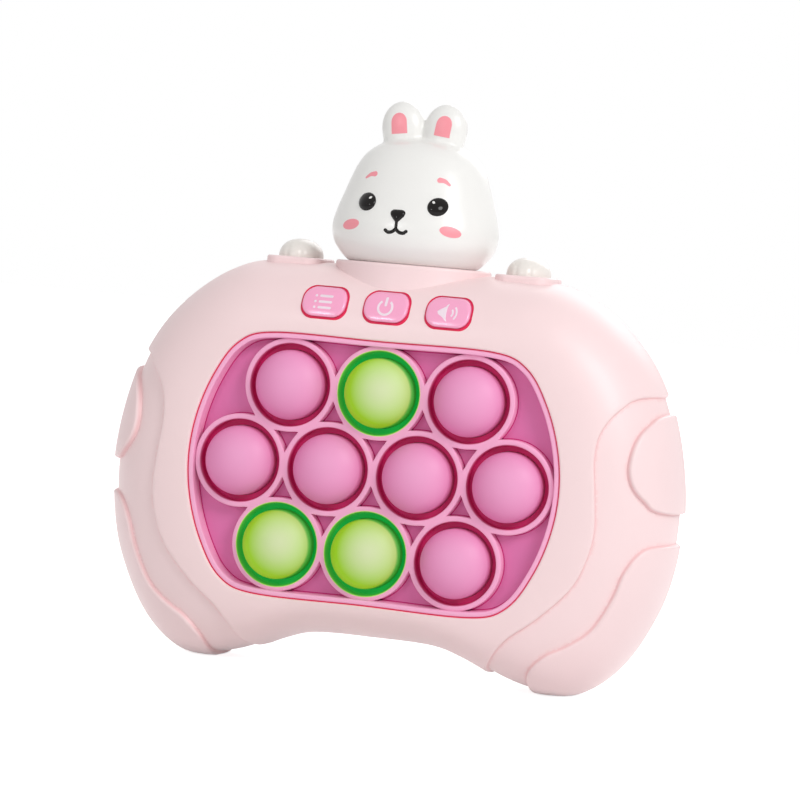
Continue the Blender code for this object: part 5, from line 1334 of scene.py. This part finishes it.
def make_door(material):
    """The battery door with its screw well and thumb grooves."""
    inner_y, at = BACK_Y - DOOR_THICKNESS, (DOOR_SCREW.x, DOOR_SCREW.z)
    well = prism("door_well", circle(WELL_RADIUS, 48) + at, BACK_Y - 0.0017, BACK_Y + 0.002)
    bore = prism("door_bore", circle(PILOT_RADIUS, 32) + at, inner_y - 0.002, BACK_Y)
    grooves = []
    for i in range(THUMB_GROOVES):
        half = THUMB_HALF[0] - THUMB_TAPER * i, THUMB_HALF[1]
        line = rounded_box(half, THUMB_CORNER, 5) + (0, DOOR_Z + THUMB_LOW + THUMB_PITCH * i)
        grooves.append(prism(f"thumb_{i}", line, BACK_Y - THUMB_DEPTH, BACK_Y + 0.001))
    mesh = door_outline_mesh("door", 0.0, inner_y, BACK_Y)
    for tool in (well, bore, merged("thumb_grooves", grooves)):
        mesh = boolean("door", mesh, tool)
    mesh = bevelled("door_shown", mesh, 0.00018)
    piece("door_shown", mesh, material, body="door", replaces=("battery_door",))


def make_bay(material):
    """The battery bay behind the door, moulded in the rear shell."""
    ledge, wall = DOOR_HALF + 0.0021, BAY_HALF + 0.0016
    top, outside, recess_y = BACK_Y - 0.0013, BACK_Y + 0.002, BACK_Y - DOOR_THICKNESS - DOOR_GAP
    solid = prism("bay", rounded_box(ledge, 0.003) + (0, DOOR_Z), BACK_Y - 0.0045, top)
    deep = prism("bay_deep", rounded_box(wall, 0.001) + (0, DOOR_Z), BAY_FLOOR_Y - 0.0016, BACK_Y - 0.0030)
    boss = prism("bay_boss", circle(DOOR_EAR_RADIUS + 0.0021, 64) + (0, DOOR_EAR_Z), BAY_FLOOR_Y, top)
    pocket = prism("bay_pocket", rounded_box(BAY_HALF, 0.0006) + (0, DOOR_Z), BAY_FLOOR_Y, outside)
    hole = circle(PILOT_RADIUS, 32) + (DOOR_SCREW.x, DOOR_SCREW.z)
    pilot = prism("bay_pilot", hole, BACK_Y - 0.0110, BACK_Y)
    mesh = boolean("bay", boolean("bay", solid, deep, "UNION"), boss, "UNION")
    for tool in (door_outline_mesh("bay_recess", DOOR_GAP, recess_y, outside), pocket, pilot):
        mesh = boolean("bay", mesh, tool)
    piece("battery_bay", mesh, material)


def make_screw(name, material, body=CONSOLE):
    """A pan-head screw with a cross recess, in the place of its plain one."""
    low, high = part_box(name)
    x, z = (low.x + high.x) / 2, (low.z + high.z) / 2
    head, shank, top = SCREW_HEAD_RADIUS, SCREW_SHANK_RADIUS, high.y
    seat, flat, crown = top - SCREW_HEAD_HEIGHT, head * 0.80, top - 0.0001
    profile = [(0, crown), *((flat * t, top - 0.0001 * t**2) for t in (0.3, 0.6, 0.85))]
    for t in np.linspace(0, pi / 2, 6):
        profile.append((flat + head * 0.20 * sin(t), crown - 0.0007 * (1 - cos(t))))
    profile += [(head, seat), (shank, seat), (shank, low.y + shank), (0.0001, low.y), (0, low.y)]
    mesh = turned(name, profile, (x, 0, z), 48)
    slots = []
    for i, half in enumerate(SCREW_CROSS):
        slots.append(prism(f"slot_{i}", rounded_box(half, 0.0001, 2) + (x, z), top - 0.0008, top + 0.001))
    mesh = boolean(name, mesh, boolean("recess", *slots, "UNION"))
    piece(f"{name}_shown", mesh, material, body=body, replaces=(name,))


def make_cells(jacket, steel):
    """Three AAA cells with a folded jacket edge and a nub."""
    for i in range(1, 4):
        low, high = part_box(f"battery_{i}")
        radius = (high.z - low.z) / 2
        flat, tip = (low.x, high.x) if i % 2 == 0 else (high.x, low.x)
        way = 1 if tip > flat else -1
        centre = (0, (low.y + high.y) / 2, (low.z + high.z) / 2)
        shoulder = tip - way * 0.0008
        can = rounded_profile([
            (0.0040, flat + way * 0.0002, False), (radius, flat + way * 0.0001, True),
            (radius, shoulder - way * 0.0002, True), (0.0040, shoulder - way * 0.0002, False),
            (0.0036, shoulder - way * 0.0005, False), (0.0036, flat + way * 0.0006, False),
        ], 0.0005)
        core = [
            (0, flat), (0.0038, flat), (0.0038, shoulder - way * 0.0003), (0.0019, shoulder - way * 0.0003),
            (0.0019, tip - way * 0.0002), (0.0017, tip), (0, tip),
        ]
        name = f"cell_{i}"
        shown = turned(f"{name}_jacket", can, centre, 64, axis=0)
        piece(f"{name}_jacket", shown, jacket, replaces=(f"battery_{i}",))
        piece(f"{name}_ends", turned(f"{name}_ends", core, centre, 48, axis=0), steel)


# Finishes


def group(name, inputs, outputs):
    """An empty shader node group. Each socket has a default, which is a tuple where it is a colour."""
    tree = bpy.data.node_groups.new(name, "ShaderNodeTree")
    for way, sockets in (("INPUT", inputs), ("OUTPUT", outputs)):
        for label, default in sockets.items():
            kind = "NodeSocketColor" if isinstance(default, tuple) else "NodeSocketFloat"
            tree.interface.new_socket(name=label, in_out=way, socket_type=kind).default_value = default
    return tree, tree.nodes.new("NodeGroupInput").outputs, tree.nodes.new("NodeGroupOutput").inputs


def node(tree, kind, links=(), **settings):
    """A node with its settings and its inputs, each a socket to link or a value to set."""
    made = tree.nodes.new(f"ShaderNode{kind}")
    for key, value in settings.items():
        setattr(made, key, value)
    for socket, source in dict(links).items():
        target = made.inputs[socket]
        if hasattr(source, "links"):
            tree.links.new(source, target)
        elif target.type == "RGBA":
            target.default_value = (*source[:3], 1)
        else:
            target.default_value = source
    return made


def reckoned(tree, operation, first, second, clamp=False):
    """The result of a calculation with two values."""
    return node(tree, "Math", {0: first, 1: second}, operation=operation, use_clamp=clamp).outputs[0]


def blended(tree, share, first, second):
    """Two colours mixed by a share."""
    return node(tree, "Mix", {"Factor": share, 6: first, 7: second}, data_type="RGBA").outputs[2]


def grain_group():
    """Fine moulded grain: a height for bump, and a value that drifts slowly over the surface."""
    scales = {"Grain scale": 2500.0, "Drift scale": 40.0}
    tree, given, end = group("Moulded grain", scales, {"Height": 0.0, "Drift": 0.0})
    place = node(tree, "TexCoord").outputs["Object"]
    fine = node(tree, "TexNoise", {"Vector": place, "Scale": given[0], "Detail": 2.0})
    slow = node(tree, "TexNoise", {"Vector": place, "Scale": given[1], "Detail": 3.0})
    tree.links.new(fine.outputs["Fac"], end[0])
    tree.links.new(slow.outputs["Fac"], end[1])
    return tree


def tone_group():
    """A colour that varies a little in lightness with a drift value."""
    tree, given, end = group("Tone drift", {"Colour": WHITE, "Drift": 0.5, "Amount": 0.05}, {"Colour": WHITE})
    swing = reckoned(tree, "MULTIPLY", reckoned(tree, "SUBTRACT", given["Drift"], 0.5), given["Amount"])
    level = reckoned(tree, "ADD", swing, 1.0)
    shade = node(tree, "VectorMath", {0: given["Colour"], 3: level}, operation="SCALE")
    tree.links.new(shade.outputs[0], end[0])
    return tree


def smudge_group():
    """Handling marks: roughness that rises in faint, broad smears."""
    values = {"Roughness": 0.3, "Marks": 0.1, "Scale": 60.0}
    tree, given, end = group("Handling marks", values, {"Roughness": 0.0})
    place = node(tree, "TexCoord").outputs["Object"]
    look = {"Vector": place, "Scale": given["Scale"], "Detail": 6.0, "Distortion": 0.6}
    marks = node(tree, "TexNoise", look)
    span = node(tree, "MapRange", {
        "Value": marks.outputs["Fac"], "From Min": 0.35, "From Max": 0.8
    }, interpolation_type="SMOOTHSTEP")
    swing = reckoned(tree, "MULTIPLY", span.outputs["Result"], given["Marks"])
    tree.links.new(reckoned(tree, "ADD", swing, given["Roughness"]), end[0])
    return tree


def shades(centre, edge, rim, radius, rim_radius, rim_width, shift=(0.0, 0.0), power=1.7):
    """The inputs of the round shading."""
    return {
        "Centre": centre, "Edge": edge, "Rim": rim, "Radius": radius, "Power": power,
        "Rim radius": rim_radius, "Rim width": rim_width, "Shift X": shift[0], "Shift Z": shift[1],
    }


def radial_group():
    """Colours by distance from the piece's own Y axis: a centre, an edge and a rim colour."""
    values = shades(WHITE, WHITE, WHITE, 0.009, 0.0095, 0.0002)
    tree, given, end = group("Round shading", values, {"Colour": WHITE})
    parts = node(tree, "SeparateXYZ", {0: node(tree, "TexCoord").outputs["Object"]}).outputs
    flat = node(tree, "CombineXYZ", {0: parts[0], 2: parts[2]}).outputs[0]
    away = node(tree, "VectorMath", {0: flat}, operation="LENGTH").outputs["Value"]
    # Moving the centre off the axis sets the domes' painted highlights up and to the right
    centre = node(tree, "CombineXYZ", {0: given["Shift X"], 2: given["Shift Z"]}).outputs[0]
    apart = node(tree, "VectorMath", {0: flat, 1: centre}, operation="DISTANCE").outputs["Value"]
    share = reckoned(tree, "DIVIDE", apart, given["Radius"])
    eased = reckoned(tree, "POWER", share, given["Power"], clamp=True)
    inner = blended(tree, eased, given["Centre"], given["Edge"])
    past = reckoned(tree, "SUBTRACT", away, given["Rim radius"])
    ramp = reckoned(tree, "DIVIDE", past, given["Rim width"], clamp=True)
    tree.links.new(blended(tree, ramp, inner, given["Rim"]), end[0])
    return tree


def crease_shade_group():
    """Painted shade: a deeper tone along the creases at the feet of the raised areas."""
    values = {"Colour": WHITE, "Crease shade colour": WHITE, "Amount": 0.5}
    tree, given, end = group("Painted crease shade", values, {"Colour": WHITE})
    mask = node(tree, "Attribute", attribute_name="crease_shade").outputs["Fac"]
    share = reckoned(tree, "MULTIPLY", mask, given["Amount"], clamp=True)
    tree.links.new(blended(tree, share, given["Colour"], given["Crease shade colour"]), end[0])
    return tree


GROUP_MAKERS = {
    "Moulded grain": grain_group, "Tone drift": tone_group, "Handling marks": smudge_group,
    "Round shading": radial_group, "Painted crease shade": crease_shade_group,
}


def use(tree, name, links):
    """A node that holds a shared group, which is made on first use."""
    shared = bpy.data.node_groups.get(name) or GROUP_MAKERS[name]()
    return node(tree, "Group", links, node_tree=shared)


def material(
    name, base, roughness, grain=2500.0, depth=0.00002, drift=0.05, marks=0.06,
    radial=None, crease_shade=None, **others
):
    """A plastic, rubber or metal finish with grain, tone drift and handling marks, and where given round
    shading and painted crease shade.
    """
    made = bpy.data.materials.new(name)
    made.use_nodes = True
    tree = made.node_tree
    shader = tree.nodes["Principled BSDF"].inputs
    grains = use(tree, "Moulded grain", {"Grain scale": grain}).outputs
    if radial:
        base = use(tree, "Round shading", radial).outputs["Colour"]
    if crease_shade:
        crease_shaded = use(tree, "Painted crease shade", {"Colour": base, "Crease shade colour": crease_shade, "Amount": 0.5})
        base = crease_shaded.outputs["Colour"]
    tone = use(tree, "Tone drift", {"Colour": base, "Drift": grains["Drift"], "Amount": drift})
    gloss = use(tree, "Handling marks", {"Roughness": roughness, "Marks": marks})
    bump = node(tree, "Bump", {"Height": grains["Height"], "Distance": depth, "Strength": 0.6})
    tree.links.new(tone.outputs["Colour"], shader["Base Color"])
    tree.links.new(gloss.outputs["Roughness"], shader["Roughness"])
    tree.links.new(bump.outputs["Normal"], shader["Normal"])
    for socket, value in others.items():
        target = shader[socket.replace("_", " ")]
        if isinstance(value, dict):
            tree.links.new(use(tree, "Round shading", value).outputs["Colour"], target)
        else:
            target.default_value = value
    return made


def finishes(colours):
    """All finishes by name, made once."""
    if "Pale pink plastic" in bpy.data.materials:
        return {item.name: item for item in bpy.data.materials}
    # Painted highlight and shade on the domes: the pale middle is moved up and to the right, and deeper pink
    # gathers at the lower left
    dome = shades(
        colours.dome_middle_and_highlight, colours.dome_edge_and_shade, colours.silicone,
        BUBBLE_RADIUS + 0.0024, BUBBLE_RADIUS - 0.0002, 0.0003, (0.0024, 0.0018)
    )
    ring = shades(colours.groove, colours.groove, colours.ring, GROOVE_RADIUS, GROOVE_RADIUS - 0.0001, 0.0002)
    # Painted highlight on the lit domes: the pale middle of the glow and of its emission is moved up and to
    # the right
    lit = shades(
        colours.lit_centre_and_highlight, colours.lit_edge, colours.lit_groove,
        BUBBLE_RADIUS, BUBBLE_RADIUS - 0.0003, 0.0004, (0.0026, 0.0012)
    )
    lit_ring = shades(
        colours.lit_groove, colours.lit_line, colours.ring,
        GROOVE_RADIUS + 0.0003, GROOVE_RADIUS + 0.0002, 0.0002, power=60.0
    )
    glow_ring = dict(lit_ring, Rim=(0, 0, 0))
    coat = {"Coat_Weight": 0.1, "Coat_Roughness": 0.1}
    made = [
        # The case plastic carries painted shade along its creases
        material(
            "Pale pink plastic", colours.case, 0.42, crease_shade=colours.crease_shade,
            Coat_Weight=0.05, Coat_Roughness=0.2
        ),
        material("Sheet silicone", colours.silicone, 0.42, marks=0.1, Specular_IOR_Level=0.35),
        material("Lip silicone", colours.ring, 0.36, marks=0.1),
        # Dome silicone with painted highlight and shade
        material("Dome silicone", colours.dome_middle_and_highlight, 0.48, radial=dome, Specular_IOR_Level=0.45),
        material("Ring silicone", colours.ring, 0.38, radial=ring, Specular_IOR_Level=0.25),
        # Lit domes glow, with a painted highlight set up and to the right
        material(
            "Lit dome", colours.lit_edge, 0.5, radial=lit,
            Emission_Color=lit, Emission_Strength=0.1, Specular_IOR_Level=0.3
        ),
        material(
            "Lit ring", colours.lit_groove, 0.38, radial=lit_ring,
            Emission_Color=glow_ring, Emission_Strength=0.35, Specular_IOR_Level=0.2
        ),
        material("Button plastic", colours.button, 0.22, Coat_Weight=0.3, Coat_Roughness=0.08),
        # Painted shade in the gaps, with a faint painted red glow standing for light bounced inside them
        material("Seam red", colours.seam, 0.5, Emission_Color=(*colours.seam, 1), Emission_Strength=0.12),
        # Painted shade round the feet of the rings and the lip
        material("Deep pink", colours.foot, 0.5, Specular_IOR_Level=0.2),
        material("Icon print", colours.print_light, 0.6),
        material("White plastic", colours.white, 0.28, marks=0.02, drift=0.03, **coat),
        material("Paw plastic", colours.cream, 0.3, marks=0.02, **coat),
        material("Blush paint", colours.blush, 0.34),
        material("Gloss black", colours.dark, 0.09, depth=0.0, marks=0.02, Specular_IOR_Level=0.22),
        material("Clear plastic", linear(226, 230, 226), 0.18, Transmission_Weight=0.5, IOR=1.46),
        material("Board laminate", linear(30, 110, 62), 0.42, grain=900.0, drift=0.3),
        material("Grey rubber", linear(150, 152, 156), 0.6, marks=0.1),
        material("Plated steel", linear(200, 200, 202), 0.26, Metallic=1.0, marks=0.14),
        material("Cell jacket", linear(52, 84, 132), 0.30, drift=0.1),
        material("Black plastic", linear(34, 34, 36), 0.48),
        material("Red insulation", linear(176, 30, 32), 0.45),
    ]
    return {item.name: item for item in made}


CAD_FINISHES = {
    "light_cap": "Clear plastic", "guide_frame": "Clear plastic", "contact_mat": "Grey rubber",
    "main_board": "Board laminate", "head_light_board": "Board laminate", "contact_": "Plated steel",
    "speaker_basket": "Black plastic", "speaker_cone": "Grey rubber", "stack_screw": "Plated steel",
    "battery_wire_red": "Red insulation", "battery_wire_black": "Black plastic",
    "speaker_wires": "Red insulation", "head_wires": "Black plastic",
}


def dress_inside(made):
    """Gives every inner node of the frame its finish."""
    for name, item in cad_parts.items():
        if item.hide_render:
            continue
        finish = next((made[label] for key, label in CAD_FINISHES.items() if name.startswith(key)), None)
        if finish is None:
            raise RuntimeError(f"{name} has no finish")
        item.data.materials.clear()
        item.data.materials.append(finish)


# Stage


def make_camera():
    """The camera as it was fitted to the photographed view."""
    data = bpy.data.cameras.new("photo_camera")
    data.lens, data.sensor_width = CAMERA_LENS, CAMERA_SENSOR
    data.clip_start, data.clip_end = CAMERA_CLIP
    made = placed("photo_camera", data)
    turn = Matrix((CAMERA_RIGHT, CAMERA_UP, CAMERA_BACK)).transposed().to_quaternion()
    made.matrix_world = Matrix.Translation(CAMERA_PLACE) @ turn.to_matrix().to_4x4()
    bpy.context.scene.camera = made


def make_lights():
    """Round area lights that face the case."""
    for name, place, size, watts in LIGHTS:
        data = bpy.data.lights.new(name, "AREA")
        data.shape, data.size, data.energy = "DISK", size, watts
        made = placed(name, data)
        made.location = place
        made.rotation_mode = "QUATERNION"
        made.rotation_quaternion = (LIGHTS_AIM - Vector(place)).to_track_quat("-Z", "Y")


def seen_ray(tree):
    """One where the camera sees a thing straight, mirrored or through glass, else zero."""
    path = node(tree, "LightPath").outputs
    straight = reckoned(tree, "MAXIMUM", path["Is Camera Ray"], path["Is Transmission Ray"])
    return reckoned(tree, "MAXIMUM", straight, path["Is Glossy Ray"])


def pale_material(name, colour_shown, lift):
    """A pale surface that keeps shadows, lifted towards white where it is seen."""
    made = bpy.data.materials.new(name)
    made.use_nodes = True
    tree = made.node_tree
    shader = tree.nodes["Principled BSDF"]
    shader.inputs["Base Color"].default_value = (*colour_shown, 1)
    shader.inputs["Roughness"].default_value = 0.9
    shader.inputs["Specular IOR Level"].default_value = 0.1
    glow = node(tree, "Emission", {"Color": WHITE, "Strength": lift})
    dark = node(tree, "Emission", {"Strength": 0.0})
    pick = node(tree, "MixShader", {0: seen_ray(tree), 1: dark.outputs[0], 2: glow.outputs[0]})
    total = node(tree, "AddShader", {0: shader.outputs[0], 1: pick.outputs[0]})
    tree.links.new(total.outputs[0], tree.nodes["Material Output"].inputs["Surface"])
    return made


def make_floor():
    """A wide floor just under the object."""
    mesh = bpy.data.meshes.new("floor")
    with editing(mesh) as work:
        bmesh.ops.create_grid(work, x_segments=8, y_segments=8, size=FLOOR_HALF)
    made = placed("floor", mesh)
    made.location = (0, 0, FLOOR_Z)
    mesh.materials.append(pale_material("Pale floor", (0.86, 0.86, 0.86), FLOOR_LIFT))


def make_world():
    """Even light from all round, and a white background where it is seen."""
    world = bpy.data.worlds.new("studio")
    bpy.context.scene.world = world
    world.use_nodes = True
    tree = world.node_tree
    ambient = tree.nodes["Background"]
    ambient.inputs["Color"].default_value = WHITE
    ambient.inputs["Strength"].default_value = AMBIENT
    shown = node(tree, "Background", {"Color": WHITE, "Strength": 1.0})
    pick = node(tree, "MixShader", {0: seen_ray(tree), 1: ambient.outputs[0], 2: shown.outputs[0]})
    tree.links.new(pick.outputs[0], tree.nodes["World Output"].inputs["Surface"])


# Operators


class Maker:
    """What every operator of this file shares."""

    bl_options = {"REGISTER", "UNDO"}

    @staticmethod
    def settings(context):
        scene = context.scene
        return scene.game_sizes, finishes(scene.game_colours)


class GAME_OT_shells(Maker, bpy.types.Operator):
    """Builds the front and the rear shell with their raised areas"""

    bl_idname = "bubble_game.shells"
    bl_label = "Shells"

    def execute(self, context):
        sizes, made = self.settings(context)
        skin = Skin(sizes)
        make_front_shell(sizes, skin, made["Pale pink plastic"])
        make_rear_shell(sizes, skin, made["Pale pink plastic"])
        make_wells(sizes, skin, made["Pale pink plastic"])
        make_gap_shades(skin, made["Seam red"])
        return {"FINISHED"}


class GAME_OT_top_edge(Maker, bpy.types.Operator):
    """Builds the neck platform, the paw collars and the paws"""

    bl_idname = "bubble_game.top_edge"
    bl_label = "Neck, collars and paws"

    def execute(self, context):
        sizes, made = self.settings(context)
        make_top_edge(sizes, made["Pale pink plastic"])
        make_paws(made["Paw plastic"])
        return {"FINISHED"}


class GAME_OT_sheet(Maker, bpy.types.Operator):
    """Builds the silicone sheet with its lip, rings and grooves"""

    bl_idname = "bubble_game.sheet"
    bl_label = "Silicone sheet"

    def execute(self, context):
        sizes, made = self.settings(context)
        make_sheet(sizes, made["Sheet silicone"], made["Lip silicone"], made["Deep pink"])
        make_rings(sizes, made["Ring silicone"], made["Lit ring"], made["Deep pink"])
        return {"FINISHED"}


class GAME_OT_domes(Maker, bpy.types.Operator):
    """Builds the ten domes, three of them lit"""

    bl_idname = "bubble_game.domes"
    bl_label = "Domes"

    def execute(self, context):
        sizes, made = self.settings(context)
        make_domes(sizes, made["Dome silicone"], made["Lit dome"])
        return {"FINISHED"}


class GAME_OT_buttons(Maker, bpy.types.Operator):
    """Builds the menu, power and volume buttons with their icons"""

    bl_idname = "bubble_game.buttons"
    bl_label = "Buttons"

    def execute(self, context):
        sizes, made = self.settings(context)
        make_buttons(sizes, Skin(sizes), made["Button plastic"], made["Icon print"])
        return {"FINISHED"}


class GAME_OT_head(Maker, bpy.types.Operator):
    """Builds the rabbit head and its face"""

    bl_idname = "bubble_game.head"
    bl_label = "Rabbit head"

    def execute(self, context):
        sizes, made = self.settings(context)
        make_head(sizes, made["White plastic"])
        make_face(sizes, made["Gloss black"], made["Blush paint"], made["White plastic"])
        return {"FINISHED"}


class GAME_OT_back(Maker, bpy.types.Operator):
    """Builds the battery door, the bay, the cells and the screws"""

    bl_idname = "bubble_game.back"
    bl_label = "Back"

    def execute(self, context):
        made = self.settings(context)[1]
        make_door(made["Pale pink plastic"])
        make_bay(made["Pale pink plastic"])
        make_cells(made["Cell jacket"], made["Plated steel"])
        for i in range(1, 7):
            make_screw(f"case_screw_{i}", made["Plated steel"])
        make_screw("battery_door_screw", made["Plated steel"], "door")
        return {"FINISHED"}


class GAME_OT_inside(Maker, bpy.types.Operator):
    """Gives the inner parts of the frame their finishes"""

    bl_idname = "bubble_game.inside"
    bl_label = "Inner parts"

    def execute(self, context):
        dress_inside(self.settings(context)[1])
        return {"FINISHED"}


class GAME_OT_stage(Maker, bpy.types.Operator):
    """Sets up the camera, the lights, the floor and the world"""

    bl_idname = "bubble_game.stage"
    bl_label = "Stage"

    def execute(self, context):
        make_camera()
        make_world()
        make_lights()
        make_floor()
        context.scene.view_settings.view_transform = "Standard"
        return {"FINISHED"}


OPERATORS = (
    GAME_OT_stage, GAME_OT_shells, GAME_OT_top_edge, GAME_OT_sheet, GAME_OT_domes,
    GAME_OT_buttons, GAME_OT_head, GAME_OT_back, GAME_OT_inside,
)


class GAME_PT_pieces(bpy.types.Panel):
    """Lists the pieces, sizes and colours of the game"""

    bl_idname = "GAME_PT_pieces"
    bl_label = "Push Bubble Game"
    bl_space_type = "VIEW_3D"
    bl_region_type = "UI"
    bl_category = "Bubble Game"

    def draw(self, context):
        layout = self.layout
        for operator in OPERATORS:
            layout.operator(operator.bl_idname)
        for settings in (context.scene.game_sizes, context.scene.game_colours):
            box = layout.box()
            for name in settings.__annotations__:
                box.prop(settings, name)


CLASSES = (GameSizes, GameColours, *OPERATORS, GAME_PT_pieces)


def register():
    for item in CLASSES:
        bpy.utils.register_class(item)
    bpy.types.Scene.game_sizes = PointerProperty(type=GameSizes)
    bpy.types.Scene.game_colours = PointerProperty(type=GameColours)


def unregister():
    del bpy.types.Scene.game_colours
    del bpy.types.Scene.game_sizes
    for item in reversed(CLASSES):
        bpy.utils.unregister_class(item)


def main():
    register()
    for operator in OPERATORS:
        group_name, call = operator.bl_idname.split(".")
        getattr(getattr(bpy.ops, group_name), call)()


if __name__ == "__main__":
    main()
